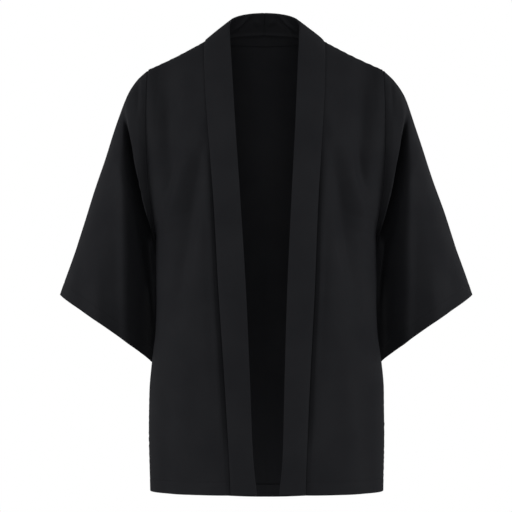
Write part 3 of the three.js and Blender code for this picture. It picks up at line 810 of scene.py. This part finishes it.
def hem_relief(place):
    """The doubled cloth of a hem, drawn in along its stitching."""
    stitch = np.exp(-(((place.hem - STITCH_HEIGHT) / HEM_GROOVE_HALF) ** 2))
    doubled = smoothstep((STITCH_HEIGHT + 1 - place.hem) / HEM_STEP_RUN)
    return HEM_STEP * doubled - HEM_GROOVE * stitch


def band_dip(z):
    """How far the fronts dip beside the band's seam, more so below the chest than at the neck and the hem."""
    return BAND_DIP * np.maximum(BAND_DIP_LEAST, rising(-z, *DIP_SETS_IN) * (1 - rising(-z, *DIP_FADES)))


def body_relief(kind, place, tables, seed, right_depth=PUCKERS):
    """Folds, slow waves, puckers along the seams and the doubled hem of a body panel."""
    inside = fade_in(place.left) * fade_in(place.right) * fade_in(place.top)
    push = sum(fold_push(table, np.abs(place.x), place.z) for table in tables)
    waves = slow_waves(kind, place.x, place.z, seed)
    seams = puckers(place.left, place.top, seed + 1) + puckers(place.right, place.top, seed + 2, right_depth)
    seams += puckers(place.top, place.left, seed + 3, TOP_PUCKERS)
    return (push + waves) * inside + seams * fade_in(place.hem, BODY_HEM_FADE) + hem_relief(place)


def front_relief(side):
    tables = FRONT_FOLDS, LEFT_FRONT_FOLDS if side < 0 else RIGHT_FRONT_FOLDS

    def relief(place):
        dip = band_dip(place.z) * np.exp(-place.right / DIP_REACH)
        return body_relief("front", place, tables, SEEDS["front"] + side, TOP_PUCKERS) - dip

    return relief


def back_relief(place):
    return body_relief("back", place, [BACK_FOLDS], SEEDS["back"])


def sleeve_relief(side):
    seed = SEEDS["sleeve"] + side
    gathers = LEFT_SLEEVE_FOLDS if side < 0 else RIGHT_SLEEVE_FOLDS

    def relief(place):
        inside = fade_in(place.top) * fade_in(place.left, UNDERARM_FADE) * fade_in(place.right, UNDERARM_FADE)
        out = np.abs(place.x)
        push = fold_push(SLEEVE_FOLDS, out, place.z)
        push += smoothstep((place.a - 0.5) / TOP_FOLD_FADE) * fold_push(gathers, out, place.z)
        push += smoothstep((0.5 - place.a) / TOP_FOLD_FADE) * fold_push(SLEEVE_BACK_FOLDS, out, place.z)
        waves = slow_waves("sleeve", place.left, place.top, seed)
        seams = puckers(place.top, place.left, seed + 1)
        seams += puckers(np.minimum(place.left, place.right), place.top, seed + 2)
        return (push + waves) * inside + seams * fade_in(place.hem, CUFF_FADE) + hem_relief(place)

    return relief


# --------------------------------------------------------------------------------------------------
# The collar band: one strip, folded along its free edge and sewn shut round the edges of the garment

BAND_HALF = 1.25  # from the band's middle to each of its two layers
# The outer and the inner layer where they turn into the seam: step in, height.
BAND_TURN = [(0.43, -1.9), (0.43, -0.6), (0.48, 0.3), (0.7, 0.85), (1.2, 1.14), (2.2, 1.25)]
BAND_TURN_UNDER = [(2.2, -1.25), (1.2, -1.3), (0.7, -1.5), (0.55, -1.9)]
DIP_OF_TURN = -1.9, 0.85  # heights between which the band's seam goes along with the dip of the fronts
# Where the ends are sewn shut: distance from an end, share of height.
BAND_CLOSE = [(0, 0.05), (0.7, 0.2), (1.5, 0.55), (2.5, 0.85), (4, 1)]
BAND_FOLD_STEPS = 9  # steps round its folded free edge
FIRST_BAND_COLUMN = 0.1  # share of its width at which the flat columns begin
BAND_END_FADE = 12  # distance from an end over which its relief sets in
BAND_SEAM_FADE = 8  # the same from its seam


def band_section(layer_columns):
    """Columns round the band's section: parameter across it, step from the seam, height above its middle."""
    flat = np.linspace(FIRST_BAND_COLUMN, 1, layer_columns)
    outer = [(0, step, height) for step, height in BAND_TURN]
    outer += [(q, 0, BAND_HALF) for q in flat[:-1]]
    turns = np.linspace(0, math.pi, BAND_FOLD_STEPS)
    fold = [(1, BAND_HALF * (math.sin(t) - 1), BAND_HALF * math.cos(t)) for t in turns]
    inner = [(q, 0, -BAND_HALF) for q in flat[-2::-1]]
    inner += [(0, step, height) for step, height in BAND_TURN_UNDER]
    return np.array(outer + fold + inner, float)


def band_rows(count):
    """Rows along the band: distance added to a share of its length, that share, share of height."""
    start = [(distance, 0, close) for distance, close in BAND_CLOSE]
    closed = BAND_CLOSE[-1][0]
    flat = [(mix(closed, -closed, share), share, 1) for share in np.linspace(0, 1, count)]
    end = [(-distance, 1, close) for distance, close in BAND_CLOSE[::-1]]
    return np.array(start + flat + end, float)


def lay_band(side, layer_columns, count):
    """The places of the folded band's points."""
    q, step, height = band_section(layer_columns).T
    offset, share, close = (field[:, None] for field in band_rows(count).T)
    trace = np.linspace(0, 1, 2 * TRACE_STEPS + 1)
    run = measured(band_seam(trace)[:, None], 0)[:, 0]
    reach = offset + share * run[-1]
    t = np.broadcast_to(np.interp(reach, run, trace), (len(reach), len(q)))
    q = np.broadcast_to(q, t.shape)
    panel = BANDS[side]
    base = panel.surface(q, t)
    along_q, along_t = panel.slopes(q, t)
    normal = unit(unit(np.cross(along_q, along_t)) * panel.turn + meets_band(side)(q, t))
    over = unit(np.cross(along_t, normal)) * panel.turn
    across, down = q * BAND_WIDTH, reach + 0 * q
    seed = SEEDS["band"] + side
    lift = slow_waves("band", across, down, seed) + fold_push(BAND_FOLDS, across, -down)
    lift += puckers(across, down, seed + 2, BAND_PUCKERS)
    lift *= fade_in(reach, BAND_END_FADE) * fade_in(run[-1] - reach, BAND_END_FADE)
    dip = band_dip(base[..., 2]) * np.interp(height, DIP_OF_TURN, (1, 0)) * (q == 0) * (step > 0)
    layers = height * close + lift * smoothstep(across / BAND_SEAM_FADE) - dip
    return base + step[:, None] * over + layers[..., None] * normal


# --------------------------------------------------------------------------------------------------
# Meshes


def make_object(name, bm, material, smooth=True):
    mesh = bpy.data.meshes.new(name)
    bm.to_mesh(mesh)
    bm.free()
    if smooth:
        mesh.shade_smooth()
    mesh.materials.append(material)
    obj = bpy.data.objects.new(name, mesh)
    bpy.context.collection.objects.link(obj)
    return obj


def sew_grid(name, points, turn, material, thickness):
    """A bmesh grid moved to its places and thickened, with a UV map in metres that runs along the cloth."""
    rows, columns = points.shape[:2]
    u = measured(points, 1)
    v = measured(points, 0)
    u = (u - u[:, columns // 2, None]) * MM
    v = (v - v[-1]) * MM
    bm = bmesh.new()
    bmesh.ops.create_grid(bm, x_segments=columns - 1, y_segments=rows - 1, size=0.5)
    for vert, place in zip(bm.verts, points.reshape(-1, 3) * MM):
        vert.co = place
    if turn < 0:
        bmesh.ops.reverse_faces(bm, faces=bm.faces)
    obj = make_object(name, bm, material)
    mesh = obj.data
    corners = np.empty(len(mesh.loops), int)
    mesh.loops.foreach_get("vertex_index", corners)
    layer = mesh.uv_layers.new(name=CLOTH_UV)
    layer.data.foreach_set("uv", np.stack([u.reshape(-1)[corners], v.reshape(-1)[corners]], axis=1).ravel())
    shell = obj.modifiers.new("Thickness", "SOLIDIFY")
    shell.thickness = thickness
    shell.offset = 0
    return obj


def place_piece(obj, slot, *nodes):
    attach(obj, "root")
    if nodes:
        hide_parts(*nodes)


# --------------------------------------------------------------------------------------------------
# Materials

CLOTH_UV = "cloth"
SLUB_FLECK = 0.3  # how much lighter the slubs are dyed
SLUB_HEIGHT = 0.5  # height of the slubs as a share of the threads'
BUMP_HEIGHT = 0.0001  # metres
WHITE = 1, 1, 1, 1


def add_node(tree, kind, at, inputs=(), **values):
    """A new node. inputs are its sockets' values, as pairs, and the other values are its own."""
    node = tree.nodes.new(kind)
    node.location = at
    for key, value in values.items():
        setattr(node, key, value)
    set_inputs(node, inputs)
    return node


def set_inputs(node, inputs):
    for socket, value in inputs:
        node.inputs[socket].default_value = value


def new_material(name):
    """A new material, its node tree and its Principled shader."""
    material = bpy.data.materials.new(name)
    material.use_nodes = True
    tree = material.node_tree
    return material, tree, tree.nodes["Principled BSDF"]


def woven_cloth_group():
    """Plain-woven cloth from a UV map in metres: colour, roughness and height."""
    name = "Woven cloth"
    if name in bpy.data.node_groups:
        return bpy.data.node_groups[name]
    tree = bpy.data.node_groups.new(name, "ShaderNodeTree")
    for way, socket, kind in (
        ("INPUT", "Colour", "Color"),
        ("INPUT", "Worn colour", "Color"),
        ("INPUT", "Threads per metre", "Float"),
        ("OUTPUT", "Colour", "Color"),
        ("OUTPUT", "Roughness", "Float"),
        ("OUTPUT", "Height", "Float"),
    ):
        tree.interface.new_socket(socket, in_out=way, socket_type="NodeSocket" + kind)
    given = add_node(tree, "NodeGroupInput", (-900, 0))
    result = add_node(tree, "NodeGroupOutput", (900, 0))
    link = tree.links.new

    uv = add_node(tree, "ShaderNodeUVMap", (-900, -300), uv_map=CLOTH_UV)
    scaled = add_node(tree, "ShaderNodeVectorMath", (-700, -300), operation="SCALE")
    link(uv.outputs["UV"], scaled.inputs[0])
    link(given.outputs["Threads per metre"], scaled.inputs["Scale"])
    split = add_node(tree, "ShaderNodeSeparateXYZ", (-520, -300))
    link(scaled.outputs["Vector"], split.inputs[0])

    # Warp and weft: each thread is a round ridge that passes over every second thread of the other set.
    crossing = add_node(tree, "ShaderNodeMath", (20, -300), operation="MULTIPLY")
    for k, (axis, y) in enumerate((("X", -200), ("Y", -420))):
        turn = add_node(tree, "ShaderNodeMath", (-340, y), [(1, math.pi)], operation="MULTIPLY")
        link(split.outputs[axis], turn.inputs[0])
        wave = add_node(tree, "ShaderNodeMath", (-160, y), operation="SINE")
        link(turn.outputs[0], wave.inputs[0])
        link(wave.outputs[0], crossing.inputs[k])
    weave = add_node(tree, "ShaderNodeMath", (200, -300), operation="ABSOLUTE")
    link(crossing.outputs[0], weave.inputs[0])

    # Slubs along the threads and a slow drift of the dye.
    place = add_node(tree, "ShaderNodeTexCoord", (-900, 300))
    slub = add_node(tree, "ShaderNodeTexNoise", (-340, 80), [("Scale", 420), ("Detail", 2)])
    link(uv.outputs["UV"], slub.inputs["Vector"])
    drift = add_node(tree, "ShaderNodeTexNoise", (-340, 300), [("Scale", 14), ("Detail", 4)])
    link(place.outputs["Object"], drift.inputs["Vector"])
    wear = add_node(tree, "ShaderNodeMapRange", (-160, 300), [("From Min", 0.35), ("From Max", 0.75)])
    link(drift.outputs["Fac"], wear.inputs["Value"])
    fleck = add_node(tree, "ShaderNodeMath", (20, 200), [(1, SLUB_FLECK)], operation="MULTIPLY_ADD")
    link(slub.outputs["Fac"], fleck.inputs[0])
    link(wear.outputs["Result"], fleck.inputs[2])
    dye = add_node(tree, "ShaderNodeMix", (400, 250), data_type="RGBA")
    link(fleck.outputs[0], dye.inputs["Factor"])
    link(given.outputs["Colour"], dye.inputs["A"])
    link(given.outputs["Worn colour"], dye.inputs["B"])
    link(dye.outputs["Result"], result.inputs["Colour"])

    rough = add_node(tree, "ShaderNodeMapRange", (400, 0), [("To Min", 0.93), ("To Max", 0.8)])
    link(weave.outputs[0], rough.inputs["Value"])
    link(rough.outputs["Result"], result.inputs["Roughness"])

    height = add_node(tree, "ShaderNodeMath", (400, -250), [(1, SLUB_HEIGHT)], operation="MULTIPLY_ADD")
    link(slub.outputs["Fac"], height.inputs[0])
    link(weave.outputs[0], height.inputs[2])
    link(height.outputs[0], result.inputs["Height"])
    return tree


def cloth_material(name, colour, worn, threads, sheen):
    """Matt black cloth. The weave comes from the shared group, and the constants are set on its sockets."""
    material, tree, shader = new_material(name)
    weave = add_node(tree, "ShaderNodeGroup", (-500, 200), node_tree=woven_cloth_group())
    set_inputs(weave, [("Colour", colour), ("Worn colour", worn), ("Threads per metre", threads)])
    bump = add_node(tree, "ShaderNodeBump", (-220, -100), [("Strength", 0.35), ("Distance", BUMP_HEIGHT)])
    link = tree.links.new
    link(weave.outputs["Colour"], shader.inputs["Base Color"])
    link(weave.outputs["Roughness"], shader.inputs["Roughness"])
    link(weave.outputs["Height"], bump.inputs["Height"])
    link(bump.outputs["Normal"], shader.inputs["Normal"])
    set_inputs(shader, [("Specular IOR Level", 0.04), ("Sheen Weight", sheen), ("Sheen Roughness", 0.5)])
    set_inputs(shader, [("Sheen Tint", (0.75, 0.8, 1, 1))])
    return material


# --------------------------------------------------------------------------------------------------
# Sizes and colours that a user would change


class KIMONO_PG_cloth(bpy.types.PropertyGroup):
    """Cloth of the body, the sleeves and the collar band."""

    thickness: bpy.props.FloatProperty(
        name="Cloth thickness", description="Thickness of one layer of cloth", default=0.0008, unit="LENGTH"
    )
    allowance: bpy.props.FloatProperty(
        name="Seam allowance", description="Depth of the seams inside", default=0.005, unit="LENGTH"
    )
    colour: bpy.props.FloatVectorProperty(
        name="Cloth colour", description="Colour of the dyed cloth", subtype="COLOR", size=4,
        default=(0.0115, 0.0118, 0.0135, 1),
    )
    worn_colour: bpy.props.FloatVectorProperty(
        name="Worn colour", description="Colour where the dye is lighter", subtype="COLOR", size=4,
        default=(0.0145, 0.0148, 0.0165, 1),
    )
    threads: bpy.props.FloatProperty(
        name="Threads per metre", description="How closely the cloth is woven", default=2400, min=100
    )
    sheen: bpy.props.FloatProperty(
        name="Sheen", description="Soft glow of the nap at grazing angles", default=0.006, min=0, max=1
    )


class KIMONO_PG_stitches(bpy.types.PropertyGroup):
    """Threads that show."""

    pitch: bpy.props.FloatProperty(
        name="Stitch length", description="From one stitch to the next", default=0.0034, unit="LENGTH"
    )
    thread: bpy.props.FloatProperty(
        name="Thread width", description="Width of the sewing thread", default=0.00045, unit="LENGTH"
    )
    colour: bpy.props.FloatVectorProperty(
        name="Thread colour", description="Colour of the sewing thread", subtype="COLOR", size=4,
        default=(0.0085, 0.0085, 0.0095, 1),
    )


class KIMONO_PG_stage(bpy.types.PropertyGroup):
    """Floor, lights and camera."""

    floor_height: bpy.props.FloatProperty(
        name="Floor height", description="Height of the floor", default=-1.45, unit="LENGTH"
    )
    floor_radius: bpy.props.FloatProperty(
        name="Floor radius", description="Radius of the round floor", default=7.5, unit="LENGTH"
    )
    camera_distance: bpy.props.FloatProperty(
        name="Camera distance", description="From the camera to the garment", default=5.5, unit="LENGTH"
    )
    view_width: bpy.props.FloatProperty(
        name="View width", description="Width that the camera takes in there", default=0.8192, unit="LENGTH"
    )
    room_light: bpy.props.FloatProperty(
        name="Room light", description="Strength of the light that comes from all round", default=0.15, min=0
    )


def cloth_named(name, context):
    """The body cloth or the band cloth, made when it is first asked for."""
    cloth = context.scene.kimono_cloth
    return bpy.data.materials.get(name) or cloth_material(
        name, cloth.colour, cloth.worn_colour, cloth.threads, cloth.sheen
    )


# --------------------------------------------------------------------------------------------------
# Pieces. A name's label is left or right, as seen from the front.

SIDES = {"left": -1, "right": 1}

FIRST_BACK_COLUMN = 0.022  # shares of the width at which the flat columns begin
FIRST_FRONT_COLUMN = 0.038
FIRST_SLEEVE_COLUMN = 0.01
BACK_TIGHT = 0.3  # how much closer together they are at their ends
FRONT_TIGHT = 0.4
BAND_SIDE = 0.98  # share of a front's width past which its seam lies inside the band
TAPE_GAP = 0.01  # share of half the back from the side of the neck to the tape's end
TAPE_STITCHES = -4  # the tape's row that its stitching follows

hem_lines = {}  # each hem's points and outward normals, for its stitching


def trimmed_allowance(depth):
    """The depth of the seams inside, trimmed away towards the underarm point."""

    def allowance(place):
        from_underarm = np.hypot(np.abs(place.x) - UNDERARM_HALF, place.z + UNDERARM_DROP)
        return np.clip(UNDERARM_TRIM * from_underarm, LEAST_ALLOWANCE, depth)

    return allowance


def keep_hem_line(name, points, rows, turn, half_thickness):
    """Notes where a hem's stitching runs, on the outside of the cloth."""
    line = int(np.flatnonzero((rows[:, 1] == 1) & (rows[:, 0] == -STITCH_HEIGHT) & (rows[:, 3] == 0))[0])
    along = unit(np.gradient(points[line], axis=0))
    down = unit(points[line + 1] - points[line - 1])
    normal = unit(np.cross(along, down)) * turn
    hem_lines[name] = points[line] + normal * half_thickness, normal


def sew_panel(context, node, points, rows, turn):
    """Makes a piece of body cloth from its laid points, in place of its solid."""
    thickness = context.scene.kimono_cloth.thickness
    keep_hem_line(node, points, rows, turn, thickness / MM / 2)
    obj = sew_grid(node + "_cloth", points, turn, cloth_named("body cloth", context), thickness)
    place_piece(obj, "body_cloth", node)


class KIMONO_OT_back(bpy.types.Operator):
    """Sew the back, one piece from side seam to side seam."""

    bl_idname = "kimono_shirt.back"
    bl_label = "Back"

    def execute(self, context):
        depth = context.scene.kimono_cloth.allowance / MM
        count, rows_count = BACK_LINES
        shoulder = eased(count, FIRST_BACK_COLUMN, NECK_SHARE, BACK_TIGHT)
        half = np.concatenate([shoulder, np.linspace(NECK_SHARE, 1, count)[1:]])
        columns = columns_between(-1, 1, both_sides(half), depth)
        rows = rows_to_hem(rows_count, depth)

        def allowance(place):
            return np.where(np.abs(place.a) < 1 - NECK_SHARE, BAND_ALLOWANCE, trimmed_allowance(depth)(place))

        points = lay_cloth(BACK, columns, rows, meets_back, back_relief, allowance)
        sew_panel(context, "back", points, rows, 1)
        return {"FINISHED"}


class KIMONO_OT_fronts(bpy.types.Operator):
    """Sew the two fronts."""

    bl_idname = "kimono_shirt.fronts"
    bl_label = "Fronts"

    def execute(self, context):
        depth = context.scene.kimono_cloth.allowance / MM
        count, rows_count = FRONT_LINES
        flat = eased(count, FIRST_FRONT_COLUMN, 1 - FIRST_FRONT_COLUMN, FRONT_TIGHT)
        columns = columns_between(0, 1, flat, depth)
        rows = rows_to_hem(rows_count, depth)

        def allowance(place):
            return np.where(place.a > BAND_SIDE, BAND_ALLOWANCE, trimmed_allowance(depth)(place))

        for label, side in SIDES.items():
            meets, relief = meets_front(side), front_relief(side)
            points = lay_cloth(FRONTS[side], columns, rows, meets, relief, allowance)
            sew_panel(context, "front_" + label, points, rows, side)
        return {"FINISHED"}


class KIMONO_OT_sleeves(bpy.types.Operator):
    """Sew the two sleeves, each folded over its top and closed by its underarm seam."""

    bl_idname = "kimono_shirt.sleeves"
    bl_label = "Sleeves"

    def execute(self, context):
        depth = context.scene.kimono_cloth.allowance / MM
        count, rows_count = SLEEVE_LINES
        flat = np.linspace(FIRST_SLEEVE_COLUMN, 1 - FIRST_SLEEVE_COLUMN, count)
        columns = columns_between(0, 1, flat, depth)
        rows = rows_to_hem(rows_count, depth)
        allowance = trimmed_allowance(depth)
        for label, side in SIDES.items():
            meets, relief = meets_sleeve(side), sleeve_relief(side)
            points = lay_cloth(SLEEVES[side], columns, rows, meets, relief, allowance)
            sew_panel(context, "sleeve_" + label, points, rows, side)
        return {"FINISHED"}


class KIMONO_OT_collar(bpy.types.Operator):
    """Fold the two halves of the collar band and sew them on."""

    bl_idname = "kimono_shirt.collar"
    bl_label = "Collar band"

    def execute(self, context):
        for label, side in SIDES.items():
            points = lay_band(side, *BAND_LINES)
            material = cloth_named("band cloth", context)
            obj = sew_grid(f"collar_{label}_cloth", points, side, material, BAND_LAYER * MM)
            place_piece(obj, "band_cloth", "collar_" + label)
        return {"FINISHED"}


def tape_relief(place):
    """The tape follows the back's own relief, just inside it."""
    clear = {"left": place.left + TAPE_CLEAR, "right": place.right + TAPE_CLEAR}
    return back_relief(SimpleNamespace(**{**vars(place), **clear})) - TAPE_INSIDE


class KIMONO_OT_neck_tape(bpy.types.Operator):
    """Lay the tape that covers the neck seam inside the back."""

    bl_idname = "kimono_shirt.neck_tape"
    bl_label = "Neck tape"

    def execute(self, context):
        count, rows_count = TAPE_LINES
        value = both_sides(np.linspace(NECK_SHARE + TAPE_GAP, 1, count))
        columns = np.stack([value, 0 * value, 0 * value], axis=1)
        flat = [(mix(TAPE_START, 0, share), share, 0, 0) for share in np.linspace(0, 1, rows_count)]
        rows = np.array([(0, 0, step, inside) for step, inside in TAPE_TOP] + flat, float)
        depths = back_top(1 - np.abs(value))[:, 2] + TAPE_BELOW
        allowance = trimmed_allowance(TAPE_START)
        points = lay_cloth(BACK, columns, rows, lambda a, b: 0, tape_relief, allowance, depths)
        above, line, below = points[TAPE_STITCHES - 1 : TAPE_STITCHES + 2]
        inward = unit(np.cross(below - above, np.gradient(line, axis=0)))
        hem_lines["neck_tape"] = line + inward * TAPE_LAYER / 2, inward
        obj = sew_grid("neck_tape", points, 1, cloth_named("band cloth", context), TAPE_LAYER * MM)
        place_piece(obj, "band_cloth")
        return {"FINISHED"}


def read_line(run, line, at):
    """A line's value at a distance along it. run holds the distances of its points."""
    return Vector([np.interp(at, run, line[:, k]) for k in range(3)])


class KIMONO_OT_stitches(bpy.types.Operator):
    """Run the sewing thread along the hem, the cuffs and the neck tape."""

    bl_idname = "kimono_shirt.stitches"
    bl_label = "Stitches"

    def execute(self, context):
        if not hem_lines:
            raise RuntimeError("The stitches need the cloth pieces to be made first")
        settings = context.scene.kimono_stitches
        pitch, width = settings.pitch / MM, settings.thread / MM
        thread = thread_material(settings.colour)
        for name, (line, normals) in hem_lines.items():
            bm = bmesh.new()
            run = measured(line[:, None], 0)[:, 0]
            count = int(run[-1] / pitch)
            for at in (np.arange(count) + 0.5) * run[-1] / count:
                place = read_line(run, line, at)
                along = (read_line(run, line, at + 1) - place).normalized()
                up = read_line(run, normals, at).normalized()
                sizes = (along * pitch * STITCH_SHARE / 2, up.cross(along) * width / 2, up * width / 2)
                shape = Matrix([[*row] for row in zip(*sizes)]).to_4x4()
                shape.translation = place
                lies = Matrix.Scale(MM, 4) @ shape @ THREAD_LIES
                bmesh.ops.create_uvsphere(bm, **STITCH_SHAPE, radius=1, matrix=lies)
            bmesh.ops.recalc_face_normals(bm, faces=bm.faces)
            obj = make_object(name + "_stitches", bm, thread)
            place_piece(obj, "band_cloth" if name == "neck_tape" else "body_cloth")
        return {"FINISHED"}


def thread_material(colour):
    """Twisted sewing thread, with a painted highlight along its strands."""
    material, tree, shader = new_material("sewing thread")
    place = add_node(tree, "ShaderNodeTexCoord", (-900, 0))
    twist = add_node(tree, "ShaderNodeTexWave", (-680, 0), [("Scale", 900)], bands_direction="DIAGONAL")
    # Painted highlight: the twist's bands mix the thread's colour with this lighter copy of it, as if light
    # caught the crest of each strand.
    lit = [THREAD_PAINTED_HIGHLIGHT * c for c in colour[:3]] + [1]
    painted_highlight_mix = add_node(tree, "ShaderNodeMix", (-360, 100), data_type="RGBA")
    set_inputs(painted_highlight_mix, [("A", colour), ("B", lit)])
    bump = add_node(tree, "ShaderNodeBump", (-360, -200), [("Distance", BUMP_HEIGHT)])
    link = tree.links.new
    link(place.outputs["Object"], twist.inputs["Vector"])
    link(twist.outputs["Fac"], painted_highlight_mix.inputs["Factor"])
    link(painted_highlight_mix.outputs["Result"], shader.inputs["Base Color"])
    link(twist.outputs["Fac"], bump.inputs["Height"])
    link(bump.outputs["Normal"], shader.inputs["Normal"])
    set_inputs(shader, [("Roughness", 0.6), ("Specular IOR Level", 0.05)])
    return material


# --------------------------------------------------------------------------------------------------
# Stage

LIGHTS = [  # name, place, width, height, power
    ("key", (0, -2.6, 2.5), 2.6, 1.6, 36),
    ("front", (0, -5.9, 0.1), 2.6, 2.6, 72),
    ("left", (-1.7, -0.55, -0.1), 0.8, 1.8, 18),
    ("right", (1.7, -0.55, -0.1), 0.8, 1.8, 18),
    ("back_left", (-2.6, 2.6, 0.8), 1.4, 1.8, 26),
    ("back_right", (2.6, 2.6, 0.8), 1.4, 1.8, 26),
]
CAMERA_SIDE = -0.016  # the camera stands a little to one side of the garment's middle
CAMERA_HEIGHT = -0.344
SENSOR = 36  # millimetres
FLOOR_SIDES = 96


def floor_material():
    """Pale matt paper with faint mottling."""
    material, tree, shader = new_material("studio floor")
    place = add_node(tree, "ShaderNodeTexCoord", (-800, 0))
    mottle = add_node(tree, "ShaderNodeTexNoise", (-600, 0), [("Scale", 3)])
    ramp = add_node(tree, "ShaderNodeMix", (-300, 0), data_type="RGBA")
    set_inputs(ramp, [("A", (0.82, 0.82, 0.82, 1)), ("B", (0.86, 0.86, 0.86, 1))])
    tree.links.new(place.outputs["Object"], mottle.inputs["Vector"])
    tree.links.new(mottle.outputs["Fac"], ramp.inputs["Factor"])
    tree.links.new(ramp.outputs["Result"], shader.inputs["Base Color"])
    set_inputs(shader, [("Roughness", 0.9)])
    return material


def light_room(world, strength):
    """A white room: it looks plain white, and lights the garment more softly than that."""
    world.use_nodes = True
    tree = world.node_tree
    tree.nodes.clear()
    seen = add_node(tree, "ShaderNodeBackground", (0, 150), [("Color", WHITE)])
    felt = add_node(tree, "ShaderNodeBackground", (0, -50), [("Color", WHITE), ("Strength", strength)])
    path = add_node(tree, "ShaderNodeLightPath", (-250, 350))
    choice = add_node(tree, "ShaderNodeMixShader", (250, 50))
    out = add_node(tree, "ShaderNodeOutputWorld", (450, 50))
    link = tree.links.new
    link(path.outputs["Is Camera Ray"], choice.inputs[0])
    link(felt.outputs[0], choice.inputs[1])
    link(seen.outputs[0], choice.inputs[2])
    link(choice.outputs[0], out.inputs["Surface"])


class KIMONO_OT_stage(bpy.types.Operator):
    """Set the floor, the soft lights and the camera."""

    bl_idname = "kimono_shirt.stage"
    bl_label = "Stage"

    def execute(self, context):
        scene = context.scene
        stage = scene.kimono_stage
        bm = bmesh.new()
        place = Matrix.Translation((0, 0, stage.floor_height))
        radius = stage.floor_radius
        bmesh.ops.create_circle(bm, cap_ends=True, segments=FLOOR_SIDES, radius=radius, matrix=place)
        bmesh.ops.recalc_face_normals(bm, faces=bm.faces)
        floor = make_object("floor", bm, floor_material(), smooth=False)

        middle = Vector((CAMERA_SIDE, 0, CAMERA_HEIGHT))
        for name, at, width, height, power in LIGHTS:
            light = bpy.data.lights.new("light_" + name, "AREA")
            light.shape = "RECTANGLE"
            light.size, light.size_y = width, height
            light.energy = power
            lamp = bpy.data.objects.new("light_" + name, light)
            lamp.location = at
            lamp.rotation_euler = (middle - Vector(at)).to_track_quat("-Z", "Y").to_euler()
            context.collection.objects.link(lamp)

        world = scene.world or bpy.data.worlds.new("room")
        scene.world = world
        light_room(world, stage.room_light)

        camera = bpy.data.cameras.new("camera")
        camera.sensor_width = SENSOR
        camera.lens = SENSOR * stage.camera_distance / stage.view_width
        eye = bpy.data.objects.new("camera", camera)
        eye.location = middle - Vector((0, stage.camera_distance, 0))
        eye.rotation_euler = (math.pi / 2, 0, 0)
        context.collection.objects.link(eye)
        scene.camera = eye
        scene.view_settings.view_transform = "Standard"
        return {"FINISHED"}


class KIMONO_PT_sidebar(bpy.types.Panel):
    """Everything that makes the shirt, in order."""

    bl_idname = "KIMONO_PT_sidebar"
    bl_label = "Kimono Shirt"
    bl_space_type = "VIEW_3D"
    bl_region_type = "UI"
    bl_category = "Kimono Shirt"

    def draw(self, context):
        layout = self.layout
        for group in SETTINGS:
            box = layout.box()
            settings = getattr(context.scene, group)
            for name in settings.bl_rna.properties.keys():
                if name not in ("rna_type", "name"):
                    box.prop(settings, name)
        for operator in OPERATORS:
            layout.operator(operator.bl_idname)


SETTINGS = {
    "kimono_cloth": KIMONO_PG_cloth,
    "kimono_stitches": KIMONO_PG_stitches,
    "kimono_stage": KIMONO_PG_stage,
}
OPERATORS = (
    KIMONO_OT_stage,
    KIMONO_OT_back,
    KIMONO_OT_fronts,
    KIMONO_OT_sleeves,
    KIMONO_OT_collar,
    KIMONO_OT_neck_tape,
    KIMONO_OT_stitches,
)


def register():
    for group in (*SETTINGS.values(), *OPERATORS, KIMONO_PT_sidebar):
        bpy.utils.register_class(group)
    for name, group in SETTINGS.items():
        setattr(bpy.types.Scene, name, bpy.props.PointerProperty(type=group))


def unregister():
    for name in SETTINGS:
        delattr(bpy.types.Scene, name)
    for group in (KIMONO_PT_sidebar, *OPERATORS[::-1], *reversed(SETTINGS.values())):
        bpy.utils.unregister_class(group)


def main():
    register()
    bpy.ops.kimono_shirt.stage()
    bpy.ops.kimono_shirt.back()
    bpy.ops.kimono_shirt.fronts()
    bpy.ops.kimono_shirt.sleeves()
    bpy.ops.kimono_shirt.collar()
    bpy.ops.kimono_shirt.neck_tape()
    bpy.ops.kimono_shirt.stitches()


if __name__ == "__main__":
    main()
